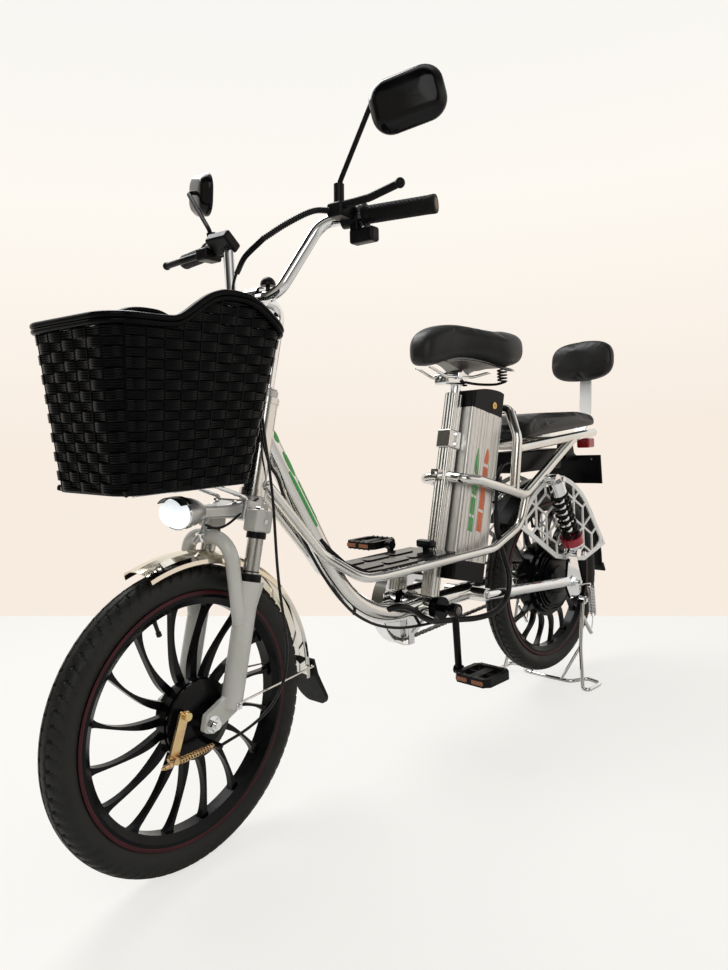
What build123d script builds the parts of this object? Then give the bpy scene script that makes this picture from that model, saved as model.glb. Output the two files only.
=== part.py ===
from build123d import *
from functools import cache
import os
from math import cos, radians, sin, sqrt, tan

os.makedirs("parts", exist_ok=True)

# A step-through electric bicycle with 20 inch cast wheels, parked on its rear double-leg stand.
# Millimetres. X is forward, Y is to the rider's left, Z is up. Everything is drawn from the
# ground point below the rear axle, then moved so that the origin is the middle of the parked
# bicycle's box, on the ground.
BOX_MIDDLE_X = 557.3
BOX_MIDDLE_Y = 18.6

# Wheels
TYRE_R = 260.0
TYRE_HALF = 28.5
RIM_SEAT_R = 209.0
RIM_LIP_R = 216.0
RIM_LIP_HALF = 18.0
RIM_WALL = 3.0
RIM_IN_R = 192.0
RIM_WELL_HALF = 12.0
SPOKES = 16
SPOKE_DEPTH = 13.0
SPOKE_TURN = 16.0
WHEELBASE = 1160.0
REAR_LIFT = 32.0
REAR_AXLE_Z = TYRE_R + REAR_LIFT

# Steering head
HEAD_ANGLE = 75.5
HEAD_LOW_X = 990.0
HEAD_LOW_Z = 620.0
HEAD_LENGTH = 188.0
HEAD_R = 22.5
STEERER_R = 12.7
RUNNING_GAP = 0.05
STEER_LEFT = 8.5

# Fork
LEG_Y = 60.0
LEG_AHEAD = 34.0
AXLE_AHEAD = 74.5
AXLE_DOWN = 391.0
LEG_R = 19.0
STANCHION_R = 14.0
LEG_TOP_DOWN = 152.0
LEG_LOW_DOWN = 368.0
FRONT_AXLE_R = 6.0

# Frame
MAIN_R = 21.0
MAIN_Z = 321.0
RAIL_R = 10.0
RAIL_Y = 72.0
RAIL_Z = 431.0
LOOP_R = 12.5
LOOP_Y = 75.0
LEAN = 14.6
SEAT_FOOT_X = 505.0
SEAT_TUBE_HALF = 17.0
CRANK_X = 525.0
CRANK_Z = 320.0
CRANK_LENGTH = 136.0
CRANK_Y = 94.0
PEDAL_IN_Y = 112.0
PEDAL_OUT_Y = 206.0
CHAIN_Y = 54.0
CHAINRING_R = 86.0
SPROCKET_R = 36.0
PIVOT_X = 356.0
PIVOT_Z = 318.0
ARM_Y = 88.0
REAR_AXLE_R = 6.0
MOTOR_R = 100.0

# Battery
BATTERY_HALF = 45.0
BATTERY_DEPTH = 126.0
BATTERY_Z = 376.0

# Stand
STAND_X = -27.0
STAND_Z = 236.0
STAND_Y = 104.0
WIRE_R = 5.0

# Basket
BASKET_TOP = (998.0, 1342.0, 113.0, 905.0)
BASKET_LOW = (1072.0, 1324.0, 99.0, 657.0)
BASKET_WALL = 7.0
BASKET_CORNER = 42.0
BASKET_RIM_Z = 912.0
BASKET_PEAK_Z = 962.0

# Cables
BRAKE_CABLE_R = 2.6
LOOM_R = 4.5
LOOM_FRONT_R = 3.2
SLEEVE_R = 7.0

sin_head = sin(radians(HEAD_ANGLE))
cos_head = cos(radians(HEAD_ANGLE))
steer_up = Vector(-cos_head, 0, sin_head)
head_low = Vector(HEAD_LOW_X, 0, HEAD_LOW_Z)
steer_axis = Axis(head_low, steer_up)
# Local x runs ahead of the steering axis, y to the left, z up along the axis.
fork_plane = Plane(origin=head_low, x_dir=(sin_head, 0, cos_head), z_dir=steer_up)
front_axle = fork_plane.from_local_coords(Vector(AXLE_AHEAD, 0, -AXLE_DOWN))
LAMP_PLACE = fork_plane.from_local_coords(Vector(149, 0, -50))
FRONT_X = front_axle.X
FRONT_Z = front_axle.Z


def rod(points, bends, radius):
    """A round bar along straight runs joined by arcs of the given radii."""
    if len(points) == 2:
        path = Line(*points)
    else:
        path = FilletPolyline(*points, radius=bends)
    return sweep(Plane(origin=path @ 0, z_dir=path % 0) * Circle(radius), path=path)


def across(x, z, y_low, y_high, radius):
    """A round bar lying across the bicycle, along Y."""
    plane = Plane(origin=(x, y_low, z), x_dir=(1, 0, 0), z_dir=(0, 1, 0))
    return extrude(plane * Circle(radius), amount=y_high - y_low)


def block(x, y, z, corner=0.0):
    """A box between pairs of x, y and z, with rounded edges where a corner radius is given."""
    middle = Location(((x[0] + x[1]) / 2, (y[0] + y[1]) / 2, (z[0] + z[1]) / 2))
    solid = Box(x[1] - x[0], y[1] - y[0], z[1] - z[0])
    if corner:
        solid = fillet(solid.edges(), corner)
    return middle * solid


def side_plate(points, y_low, y_high, corner=0.0):
    """A flat plate in the XZ plane between two distances to the left."""
    flat = Polygon(*points, align=None)
    if corner:
        flat = fillet(flat.vertices(), corner)
    plane = Plane(origin=(0, y_low, 0), x_dir=(1, 0, 0), z_dir=(0, -1, 0))
    return extrude(plane * flat, amount=y_high - y_low, dir=(0, 1, 0))


def both_sides(solid):
    """The left piece and its mirror image on the right, as separate solids."""
    return Compound(children=[solid, mirror(solid, about=Plane.XZ)])


def joined_sides(solid):
    return solid + mirror(solid, about=Plane.XZ)


def on_fork(ahead, left, up):
    return fork_plane.from_local_coords(Vector(ahead, left, up))


def turned(solid):
    """The steering parts stand turned to the left on the parked bicycle."""
    return solid.rotate(steer_axis, STEER_LEFT)


def lathe(points, x, z):
    """A ring turned about a wheel's axle, from (distance to the left, radius) points."""
    profile = make_face(Polyline(*[(radius, left) for left, radius in points], close=True))
    section = Plane(origin=(x, 0, z), x_dir=(1, 0, 0), z_dir=(0, 0, 1)) * profile
    return revolve(section, Axis((x, 0, z), (0, 1, 0)), 360)


# Wheels ------------------------------------------------------------------------------

def tyre(x, z):
    half = [(RIM_SEAT_R, RIM_LIP_HALF - 2), (RIM_LIP_R, RIM_LIP_HALF), (240, TYRE_HALF)]
    left = [(y, radius) for radius, y in half]
    right = [(-y, radius) for y, radius in reversed(left)]
    return lathe(left + [(0, TYRE_R)] + right, x, z)


def rim(x, z):
    outer = RIM_LIP_HALF + RIM_WALL
    points = [(RIM_LIP_HALF - 2, RIM_SEAT_R), (RIM_LIP_HALF, RIM_LIP_R), (outer, RIM_LIP_R),
              (outer, RIM_LIP_R - 12), (RIM_WELL_HALF, RIM_IN_R)]
    return lathe(points + [(-y, radius) for y, radius in reversed(points)], x, z)


def spoke_blade(inner_r):
    """One spoke, thin and curved, that flares where it meets the rim."""
    out_r = RIM_IN_R + 4
    mid_r = (inner_r + out_r) / 2
    lead = Polyline((inner_r, -5.5), (inner_r, 5.5))
    upper = Spline((inner_r, 5.5), (mid_r, -9), (out_r - 20, 0), (out_r - 6, 8), (out_r, 17))
    lower = Spline((inner_r, -5.5), (mid_r, -16), (out_r - 20, -8), (out_r - 6, -8), (out_r, -14))
    tail = Line((out_r, 17), (out_r, -14))
    return make_face([lead, upper, tail, lower])


def spokes(x, z, inner_r):
    blade = spoke_blade(inner_r)
    ring = Sketch() + [Rot(0, 0, SPOKE_TURN + 360 * i / SPOKES) * blade for i in range(SPOKES)]
    plane = Plane(origin=(x, -SPOKE_DEPTH / 2, z), x_dir=(1, 0, 0), z_dir=(0, -1, 0))
    return extrude(plane * ring, amount=SPOKE_DEPTH, dir=(0, 1, 0))


def front_wheel(x, z):
    hub = lathe([(-34, 8), (-34, 26), (-26, 44), (-20, 52), (9, 52), (11, 68), (26, 69), (26, 62), (14, 60),
                 (14, FRONT_AXLE_R + 0.05), (-34, FRONT_AXLE_R + 0.05)], x, z)
    return rim(x, z) + spokes(x, z, 46) + hub


def rear_wheel(x, z):
    band = lathe([(-16, MOTOR_R - 4), (-16, MOTOR_R + 6), (16, MOTOR_R + 6), (16, MOTOR_R - 4)], x, z)
    return rim(x, z) + spokes(x, z, MOTOR_R) + band


def hub_motor(x, z):
    """The rear hub motor, with cooling fins on its covers and the sprocket on its right."""
    bore = REAR_AXLE_R + RUNNING_GAP
    fins = [(36, 88), (36, 84), (31, 84), (31, 79), (38, 79), (38, 75), (33, 75), (33, 70), (42, 70)]
    side = [(16, MOTOR_R - 4), (30, MOTOR_R - 4), (30, 88)] + fins + [(46, 40), (50, 38), (50, bore)]
    right = [(-16, MOTOR_R - 4), (-30, MOTOR_R - 6), (-38, 70), (-44, 34), (-50, 32), (-50, bore)]
    return lathe(side + right[::-1], x, z)


# Steering ----------------------------------------------------------------------------

@cache
def fork_crown():
    steerer = fork_plane * Pos(0, 0, 84.5) * Cylinder(STEERER_R, 233)
    race = fork_plane * Pos(0, 0, -8) * Cylinder(23, 15)
    nut = fork_plane * Pos(0, 0, HEAD_LENGTH + 7) * Cylinder(20, 12)
    flat = Polygon((-24, -24), (-24, 24), (16, 44), (54, 44), (54, -44), (16, -44), align=None)
    flat = fillet(flat.vertices(), 9)
    bridge = fork_plane * Pos(0, 0, -46) * extrude(flat, amount=34, dir=(0, 0, 1))
    return steerer + race + nut + bridge


@cache
def crown_caps():
    cap = fork_plane * Pos(LEG_AHEAD, LEG_Y, -46) * fillet(Box(40, 34, 40).edges(), 5)
    return both_sides(cap)


def stanchions():
    leg = fork_plane * Pos(LEG_AHEAD, LEG_Y, -(66 + LEG_TOP_DOWN + 14) / 2)
    return both_sides(leg * Cylinder(STANCHION_R, LEG_TOP_DOWN + 14 - 66))


@cache
def fork_lowers():
    length = LEG_LOW_DOWN - LEG_TOP_DOWN
    tube = fork_plane * Pos(LEG_AHEAD, LEG_Y, -(LEG_TOP_DOWN + length / 2)) * Cylinder(LEG_R, length)
    funnel = fork_plane * Pos(LEG_AHEAD, LEG_Y, -LEG_TOP_DOWN - 22) * Cone(LEG_R, 26, 44)
    well = fork_plane * Pos(LEG_AHEAD, LEG_Y, -LEG_TOP_DOWN - 7) * Cylinder(STANCHION_R, 14)
    foot = [(LEG_AHEAD - 15, 352), (LEG_AHEAD + 12, 344), (AXLE_AHEAD + 16, AXLE_DOWN - 14),
            (AXLE_AHEAD + 16, AXLE_DOWN + 14), (AXLE_AHEAD - 6, AXLE_DOWN + 17), (LEG_AHEAD - 12, 374)]
    flat = fillet(Polygon(*[(ahead, -down) for ahead, down in foot], align=None).vertices(), 6)
    side = Plane(origin=on_fork(0, LEG_Y - 5, 0), x_dir=fork_plane.x_dir, z_dir=(0, -1, 0))
    plate = extrude(side * flat, amount=10, dir=(0, 1, 0))
    hole = across(FRONT_X, FRONT_Z, LEG_Y - 6, LEG_Y + 6, FRONT_AXLE_R)
    leg = (tube + funnel - well + plate) - hole
    arch = rod([on_fork(LEG_AHEAD + 8, LEG_Y, -226), on_fork(LEG_AHEAD + 58, LEG_Y - 3, -84),
                on_fork(LEG_AHEAD + 58, 3 - LEG_Y, -84), on_fork(LEG_AHEAD + 8, -LEG_Y, -226)], 40, 12.5)
    return joined_sides(leg) + arch


def front_axle_bar():
    shaft = across(FRONT_X, FRONT_Z, -LEG_Y - 20, LEG_Y + 20, FRONT_AXLE_R)
    plane = Plane(origin=(FRONT_X, LEG_Y + 5, FRONT_Z), x_dir=(1, 0, 0), z_dir=(0, 1, 0))
    nut = extrude(plane * RegularPolygon(11, 6), amount=10) + extrude(plane * Circle(14), amount=2)
    return shaft + joined_sides(nut)


@cache
def brake_plate():
    """The drum brake's fixed cover on the left of the front hub, with its lever arm."""
    bore = FRONT_AXLE_R
    cover = lathe([(29, bore), (29, 67), (33, 67), (38, 52), (40, 24), (55, 18), (55, bore)], FRONT_X, FRONT_Z)
    pivot = across(FRONT_X + 44, FRONT_Z + 26, 34, 50, 8)
    cable_stop = across(FRONT_X - 8, FRONT_Z - 40, 36, 74, 5)
    return cover + pivot + cable_stop


def brake_arm():
    """The plated lever on the drum brake's pivot, with the pin that the cable pulls."""
    arm = side_plate([(FRONT_X + 36, FRONT_Z + 34), (FRONT_X + 54, FRONT_Z + 36), (FRONT_X + 82, FRONT_Z - 36),
                      (FRONT_X + 66, FRONT_Z - 44)], 50, 54, 5)
    pin = across(FRONT_X + 73, FRONT_Z - 36, 44, 64, 6)
    head = across(FRONT_X + 44, FRONT_Z + 26, 54, 60, 7)
    return arm + pin + head


@cache
def front_fender():
    """A crowned strip over the wheel, rolled at its edges, with a wire stay each side."""
    x = FRONT_X - 6
    z = FRONT_Z + 2
    outer = [(-37, 262), (-36, 269), (-30, 275), (-16, 280), (0, 281.5), (16, 280), (30, 275), (36, 269), (37, 262)]
    inner = [(left, radius - 1.6) for left, radius in reversed(outer)]
    inner = [(left * 0.955, radius) for left, radius in inner]
    strip = make_face(Polyline(*[(radius, left) for left, radius in outer + inner], close=True))
    section = Plane(origin=(x, 0, z), x_dir=(1, 0, 0), z_dir=(0, 0, 1)) * strip
    start = section.rotate(Axis((x, 0, z), (0, -1, 0)), 70)
    shell = revolve(start, Axis((x, 0, z), (0, -1, 0)), 113)
    low = on_fork(LEG_AHEAD, LEG_Y + 18, -LEG_LOW_DOWN + 8)
    stay = rod([low, low + Vector(-14, 2, 4), Vector(x - 275, 40.5, z + 8), Vector(x - 275, 35, z + 8)], [5, 2.5], 2)
    return shell + (joined_sides(stay) - fork_lowers())


def front_flap():
    """The fender's rubber flap, a spoon with rounded lower corners."""
    x = FRONT_X - 6
    z = FRONT_Z + 2
    points = [(x - 277, z + 20), (x - 283, z + 20), (x - 293, z - 14), (x - 322, z - 70), (x - 330, z - 88),
              (x - 324, z - 91), (x - 314, z - 72), (x - 283, z - 16)]
    sheet = side_plate(points, -37, 37)
    keep = Plane(origin=(780, 0, z - 11), x_dir=(0, 1, 0), z_dir=(1, 0, 0)) * RectangleRounded(74, 164, 30)
    return (sheet & extrude(keep, amount=140)) - front_fender()


def lamp_shell(stations):
    """An oval shell along the steering's forward direction, from (ahead, half width, half height)."""
    made = []
    for ahead, wide, tall in stations:
        plane = Plane(origin=LAMP_PLACE + Vector(ahead, 0, 0), x_dir=(0, 1, 0), z_dir=(1, 0, 0))
        made.append(plane * Ellipse(wide, tall))
    return loft(made)


@cache
def lamp_body():
    return lamp_shell([(-34, 10, 7), (-26, 25, 17), (-6, 37, 25), (16, 40, 28)])


def lamp_lens():
    return lamp_shell([(16, 36, 25), (27, 32, 21.5), (34, 18, 12)])


@cache
def lamp_bracket():
    """The cast arm from the crown to the lamp, and the strap down to the fender."""
    made = []
    for ahead, wide, tall, up in ((54, 74, 30, -30), (82, 46, 24, -38), (124, 34, 26, -47)):
        plane = Plane(origin=on_fork(ahead, 0, up), x_dir=(0, 1, 0), z_dir=fork_plane.x_dir)
        made.append(plane * RectangleRounded(wide, tall, 7))
    arm = loft(made)
    strap = rod([on_fork(98, 0, -50), on_fork(104, 0, -78), on_fork(119, 0, -100)], [18], 5)
    return (arm + strap) - fork_lowers() - lamp_body() - fork_crown() - crown_caps()


@cache
def handlebar():
    """The tall stem and the swan-neck bar, one chromed weldment."""
    clamp = Vector(968, 0, 984)
    left = [clamp, (967, 60, 983), (913, 122, 1108.6), (857, 322, 1114)]
    half = rod(left, [38, 45], 11)
    bar = half + mirror(half, about=Plane.XZ) + Pos(clamp) * Sphere(11)
    stem = rod([on_fork(0, 0, HEAD_LENGTH + 13), on_fork(0, 0, 366), clamp], [24], 11.2)
    block_clamp = across(clamp.X, clamp.Z, -22, 22, 18)
    return stem + bar + block_clamp


def grip_place(y_low, y_high):
    """The straight end of the bar, from its inner to its outer end."""
    inner = Vector(913, 122, 1108.6)
    outer = Vector(857, 322, 1114)
    run = (outer - inner) * (1 / (outer.Y - inner.Y))
    return inner + run * (y_low - inner.Y), inner + run * (y_high - inner.Y)


def grips():
    start, end = grip_place(200, 326)
    way = (end - start).normalized()
    skin = rod([start, end], None, 16) + rod([start, start + way * 5], None, 21)
    skin = skin - rod([start - way, end - way * 3], None, 11)
    return both_sides(skin)


def lever_set(side, root, middle, tip, body):
    """A clamp on the bar with its brake lever and the housing the lever turns in."""
    start, end = grip_place(162, 195)
    clamp = rod([start, end], None, 18)
    clamp = clamp if side > 0 else mirror(clamp, about=Plane.XZ)
    lever = rod([root, middle, tip], [40], 6.5) + Pos(tip) * Sphere(8.5)
    return clamp + lever + body


@cache
def bar_controls():
    """Brake levers with their clamps, the switch block, the display and a small bell."""
    left = lever_set(1, Vector(937, 186, 1120), Vector(929, 240, 1124), Vector(926, 300, 1136),
                     block((898, 948), (162, 195), (1102, 1126), 5))
    right = lever_set(-1, Vector(926, -186, 1098), Vector(934, -238, 1092), Vector(927, -300, 1091),
                      block((894, 938), (-195, -162), (1084, 1108), 5))
    left = left + block((889, 913), (182, 232), (1061, 1086), 5) + block((891, 907), (180, 196), (1078, 1102), 2)
    screen = Plane(origin=(920, -131, 1112), x_dir=(0, 1, 0), z_dir=(-sin(radians(40)), 0, cos(radians(40))))
    display = screen * fillet(Box(60, 42, 22).edges(), 5)
    post = rod([Vector(920, -131, 1110), Vector(905, -150, 1109)], None, 9)
    bell = Pos(966, 36, 1004) * (Sphere(14) & Pos(0, 0, 8) * Box(40, 40, 20))
    bell = bell + rod([Vector(966, 36, 1010), Vector(967, 36, 984)], None, 4)
    bar = handlebar()
    return Compound(children=[left - bar, (right + display + post) - bar, bell - bar])


def mirror_head(side, centre):
    """A domed oblong shell, turned a little outward, with its outer end tipped up."""
    turn = radians(24)
    plane = Plane(origin=centre, x_dir=(-side * sin(turn), cos(turn), 0), z_dir=(cos(turn), side * sin(turn), 0))
    face = plane * Rot(0, 0, side * 14) * RectangleRounded(122, 86, 32)
    return extrude(face, amount=6) + extrude(face.moved(Location(plane.z_dir * 6)), amount=14, taper=38)


def mirrors():
    made = []
    for side, foot, low, elbow, centre in (
            (1, Vector(932, 178, 1122), Vector(931, 178, 1158), Vector(928, 249, 1274), Vector(908, 306, 1266)),
            (-1, Vector(905, -176, 1116), Vector(911, -175, 1142), Vector(878, -281, 1249), Vector(836, -276, 1252))):
        joint = centre + Vector(8, -side * 16, 0)
        stem = rod([foot, low, elbow, joint], [40, 9], 4.5)
        boot = rod([foot, low], None, 9)
        made.append((mirror_head(side, centre) + stem + boot) - bar_controls() - handlebar())
    return Compound(children=made)


def basket_level(z, inset):
    """The basket's outline at one height; above the rim its sides are carried on in line."""
    t = (z - BASKET_LOW[3]) / (BASKET_TOP[3] - BASKET_LOW[3])
    x_low, x_high, half = [low + (top - low) * t for low, top in zip(BASKET_LOW[:3], BASKET_TOP[:3])]
    plane = Plane(origin=((x_low + x_high) / 2, 0, z))
    return plane * RectangleRounded(x_high - x_low - 2 * inset, 2 * (half - inset), BASKET_CORNER - inset)


def above_rim(drop):
    """The space above the rim line, which rises to a rounded peak on both sides."""
    low = BASKET_RIM_Z - drop
    peak = BASKET_PEAK_Z - drop
    line = FilletPolyline((940, low + 4), (1012, low + 4), (1078, peak - 4), (1098, peak), (1152, peak), (1174, peak - 7),
                          (1232, low), (1400, low), radius=[40, 40, 40, 40, 60, 60])
    roof = Polyline((1400, low), (1400, 1010), (940, 1010), (940, low + 4))
    plane = Plane(origin=(0, -160, 0), x_dir=(1, 0, 0), z_dir=(0, -1, 0))
    return extrude(plane * make_face([line, roof]), amount=320, dir=(0, 1, 0))


def basket():
    """A tapered woven tub, open at the top, with a thick rolled rim."""
    outer = loft([basket_level(BASKET_LOW[3], 0), basket_level(985, 0)])
    inner = loft([basket_level(BASKET_LOW[3] + BASKET_WALL, BASKET_WALL), basket_level(990, BASKET_WALL)])
    rim = loft([basket_level(880, -4), basket_level(985, -4)]) & above_rim(14)
    return (outer + rim) - inner - above_rim(0)


@cache
def basket_support():
    """Two bent wires from the crown that carry the basket's floor."""
    z = BASKET_LOW[3] - 4.3
    wire = rod([Vector(1042, 36, 600), Vector(1038, 36, 624), Vector(1110, 36, z), Vector(1270, 36, z)], [10, 50], 4)
    cross = across(1152, z, -34, 34, 4) + across(1262, z, -34, 34, 4)
    return (joined_sides(wire) + cross) - fork_crown()


# Frame -------------------------------------------------------------------------------

def seat_axis_x(z):
    return SEAT_FOOT_X - (z - MAIN_Z) * tan(radians(LEAN))


@cache
def main_tube():
    bore_r = STEERER_R + RUNNING_GAP
    outline = [(bore_r, 0.5), (HEAD_R + 3, 0.5), (HEAD_R + 3, 14), (HEAD_R, 14), (HEAD_R, HEAD_LENGTH - 12),
               (HEAD_R + 2, HEAD_LENGTH - 12), (HEAD_R + 2, HEAD_LENGTH - 0.5), (bore_r, HEAD_LENGTH - 0.5)]
    wall = Plane(origin=head_low, x_dir=fork_plane.x_dir, z_dir=(0, -1, 0)) * make_face(Polyline(*outline, close=True))
    head = revolve(wall, steer_axis, 360)
    start = Vector(960, 0, 748)
    corner = Vector(739, 0, MAIN_Z)
    tube = rod([start, corner, Vector(PIVOT_X, 0, MAIN_Z)], [230], MAIN_R)
    shell = across(CRANK_X, CRANK_Z, -36, 36, 24)
    pivot = across(PIVOT_X, PIVOT_Z, -62, 62, 17)
    bore = fork_plane * Pos(0, 0, HEAD_LENGTH / 2) * Cylinder(bore_r, HEAD_LENGTH + 60)
    return head + (tube - bore) + shell + pivot - across(CRANK_X, CRANK_Z, -40, 40, 8 + RUNNING_GAP)


@cache
def side_rails():
    """Thin rails that run from the head tube along the footboard and up to the loop."""
    points = [on_fork(-14, 20, 26), Vector(843, 22, 488), Vector(778, 64, 434), Vector(720, RAIL_Y, RAIL_Z),
              Vector(342, RAIL_Y, RAIL_Z), Vector(222, RAIL_Y, 474), Vector(190, RAIL_Y + 1, 548)]
    head = fork_plane * Pos(0, 0, HEAD_LENGTH / 2) * Cylinder(HEAD_R - 1, HEAD_LENGTH + 40)
    rail = rod(points, [90, 70, 150, 120, 60], RAIL_R) - head
    return both_sides(rail - upper_loop() - main_tube())


@cache
def seat_tube():
    """A ribbed extrusion from the main tube to the saddle clamp."""
    plane = Plane(origin=(SEAT_FOOT_X, 0, MAIN_Z), x_dir=(cos(radians(LEAN)), 0, sin(radians(LEAN))),
                  z_dir=(-sin(radians(LEAN)), 0, cos(radians(LEAN))))
    body = RectangleRounded(2 * SEAT_TUBE_HALF, 2 * SEAT_TUBE_HALF, 5)
    groove = [Pos(SEAT_TUBE_HALF, y) * Rectangle(5, 4) for y in (-9, 0, 9)]
    groove += [Pos(x, side * SEAT_TUBE_HALF) * Rectangle(4, 5) for x in (-7, 4) for side in (-1, 1)]
    tube = extrude(plane * Pos(0, 0, 12) * (body - groove), amount=495)
    collar = plane * Pos(0, 0, 394) * fillet(Box(42, 42, 44).edges(), 3)
    lug = plane * Pos(SEAT_TUBE_HALF + 10, 0, 304) * Box(22, 22, 22)
    return (tube + collar + lug) - main_tube()


@cache
def upper_loop():
    points = [Vector(seat_axis_x(616) + 2, 12, 616), Vector(432, 60, 610), Vector(392, LOOP_Y, 603), Vector(200, LOOP_Y, 550),
              Vector(-50, LOOP_Y, 684)]
    return both_sides(rod(points, [20, 40, 40], LOOP_R)) - seat_tube()


def rear_rack():
    rail = rod([Vector(222, LOOP_Y, 671), Vector(-166, LOOP_Y, 698)], None, 12)
    plate = side_plate([(-40, 693), (-40, 686), (-172, 694), (-172, 703)], -LOOP_Y, LOOP_Y)
    front = side_plate([(210, 675), (210, 667), (120, 673), (120, 681)], -LOOP_Y, LOOP_Y)
    return (joined_sides(rail) + plate + front) - battery_hoop() - upper_loop()


@cache
def battery_hoop():
    points = [Vector(246, LOOP_Y, 566), Vector(223, LOOP_Y, 700), Vector(206, 40, 772), Vector(206, -40, 772),
              Vector(223, -LOOP_Y, 700), Vector(246, -LOOP_Y, 566)]
    return rod(points, [60, 22, 22, 60], LOOP_R) - upper_loop()


@cache
def swingarm():
    """The rear arm: a tube each side from the pivot to a stamped axle plate."""
    tube = rod([Vector(PIVOT_X, 56, PIVOT_Z), Vector(300, 62, 314), Vector(30, ARM_Y, 296)], [120], 14)
    plate = side_plate([(-46, 286), (-38, 250), (14, 246), (34, 280), (30, 316), (14, 392), (-14, 392), (-30, 330)],
                       ARM_Y - 4, ARM_Y + 4, 8)
    side = tube + plate
    return both_sides(side - across(0, REAR_AXLE_Z, 0, 140, REAR_AXLE_R) - main_tube())


def rear_axle():
    shaft = across(0, REAR_AXLE_Z, -ARM_Y - 28, ARM_Y + 28, REAR_AXLE_R)
    plane = Plane(origin=(0, ARM_Y + 4, REAR_AXLE_Z), x_dir=(1, 0, 0), z_dir=(0, 1, 0))
    nut = extrude(plane * RegularPolygon(13, 6), amount=11) + extrude(plane * Circle(17), amount=3)
    return shaft + joined_sides(nut)


def shock_line():
    return Vector(0, ARM_Y + 14, 372), Vector(98, ARM_Y + 14, 584)


def shock_bodies():
    low, high = shock_line()
    way = (high - low).normalized()
    core = rod([low, high], None, 9) + rod([high - way * 46, high - way * 8], None, 21)
    cup = rod([low + way * 26, low + way * 34], None, 26)
    eyes = across(low.X, low.Z, ARM_Y + 4, ARM_Y + 24, 12) + across(high.X, high.Z, LOOP_Y - 4, ARM_Y + 24, 12)
    return both_sides((core + cup + eyes) - upper_loop() - swingarm())


def shock_springs():
    low, high = shock_line()
    way = (high - low).normalized()
    length = (high - way * 46 - low - way * 56).length
    turns = 7
    pitch = length / turns
    wall = [(17, 0)]
    for i in range(turns):
        wall += [(20, pitch * i), (25, pitch * (i + 0.3)), (25, pitch * (i + 0.7)), (20, pitch * (i + 1) - 0.01)]
    wall += [(17, length)]
    base = low + way * 56
    section = Plane(origin=base, x_dir=(way.Z, 0, -way.X), z_dir=(0, -1, 0)) * make_face(Polyline(*wall, close=True))
    return both_sides(revolve(section, Axis(base, way), 360))


def shock_collars():
    low, high = shock_line()
    way = (high - low).normalized()
    collar = rod([low + way * 34, low + way * 56], None, 30) - rod([low, high], None, 9)
    return both_sides(collar)


def battery_plane(z):
    front = seat_axis_x(z) - SEAT_TUBE_HALF / cos(radians(LEAN)) - 3
    return Plane(origin=(front - BATTERY_DEPTH / 2, 0, z - BATTERY_DEPTH / 2 * tan(radians(LEAN))),
                 x_dir=(cos(radians(LEAN)), 0, sin(radians(LEAN))), z_dir=(-sin(radians(LEAN)), 0, cos(radians(LEAN))))


def battery_base():
    return extrude(battery_plane(BATTERY_Z) * RectangleRounded(BATTERY_DEPTH, 2 * BATTERY_HALF, 8), amount=48)


@cache
def battery_case():
    """A ribbed aluminium extrusion: shallow flutes run up both sides."""
    face = RectangleRounded(BATTERY_DEPTH, 2 * BATTERY_HALF, 8)
    flutes = [Pos(x, side * BATTERY_HALF) * Rectangle(wide, 4) for side in (-1, 1)
              for x, wide in ((46, 7), (32, 5), (8, 5), (-2, 5), (-48, 7))]
    return extrude(battery_plane(BATTERY_Z) * Pos(0, 0, 48) * (face - flutes), amount=370)


def battery_cap():
    plane = battery_plane(BATTERY_Z)
    solid = extrude(plane * Pos(0, 0, 418) * RectangleRounded(BATTERY_DEPTH, 2 * BATTERY_HALF, 8), amount=110)
    arch = Spline((440, 806), (370, 817), (314, 822), (262, 818), (228, 806), (214, 784), (206, 750))
    above = make_face([arch, Polyline((206, 750), (150, 750), (150, 960), (440, 960), (440, 806))])
    side = Plane(origin=(0, -80, 0), x_dir=(1, 0, 0), z_dir=(0, -1, 0))
    return solid - extrude(side * above, amount=160, dir=(0, 1, 0))


def footboard():
    """A moulded board between the rails that sweeps up the main tube."""
    top = RAIL_Z + 15
    low = RAIL_Z + 10.5
    outline = [(484, top), (484, low), (760, low), (806, low + 20), (850, low + 78), (844, low + 82), (798, low + 27), (757, top)]
    board = side_plate(outline, -70, 70)
    keep = Plane(origin=(0, 0, 0)) * Polygon((470, -70), (470, 70), (722, 70), (780, 52), (822, 26), (880, 14),
                                                  (880, -14), (822, -26), (780, -52), (722, -70), align=None)
    board = board & extrude(keep, amount=700, dir=(0, 0, 1))
    hole = Pos(seat_axis_x(top), 0, top) * Box(2 * SEAT_TUBE_HALF + 8, 2 * SEAT_TUBE_HALF + 1, 60)
    pads = [Pos(564 + 80 * i, side * 30, top - 1) * extrude(RectangleRounded(72, 26, 9), amount=3.5)
            for i in range(3) for side in (-1, 1)]
    knob = Pos(507, 0, top - 1) * Cylinder(8, 22) + Pos(507, 0, top + 17) * fillet(Box(20, 46, 18).edges(), 5)
    return (board + pads + knob) - hole - main_tube() - side_rails()


@cache
def saddle():
    """A wide saddle with a narrow nose, as one closed solid."""
    sections = [(511, 22, 884, 926), (497, 36, 870, 948), (452, 49, 874, 967), (396, 62, 884, 973), (336, 86, 877, 966),
                (282, 105, 859, 963), (222, 101, 861, 966), (193, 80, 886, 960)]
    made = []
    for x, half, low, high in sections:
        plane = Plane(origin=(x, 0, (low + high) / 2), x_dir=(0, 1, 0), z_dir=(1, 0, 0))
        made.append(plane * RectangleRounded(2 * half, high - low, (high - low) * 0.42))
    return loft(made)


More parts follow.
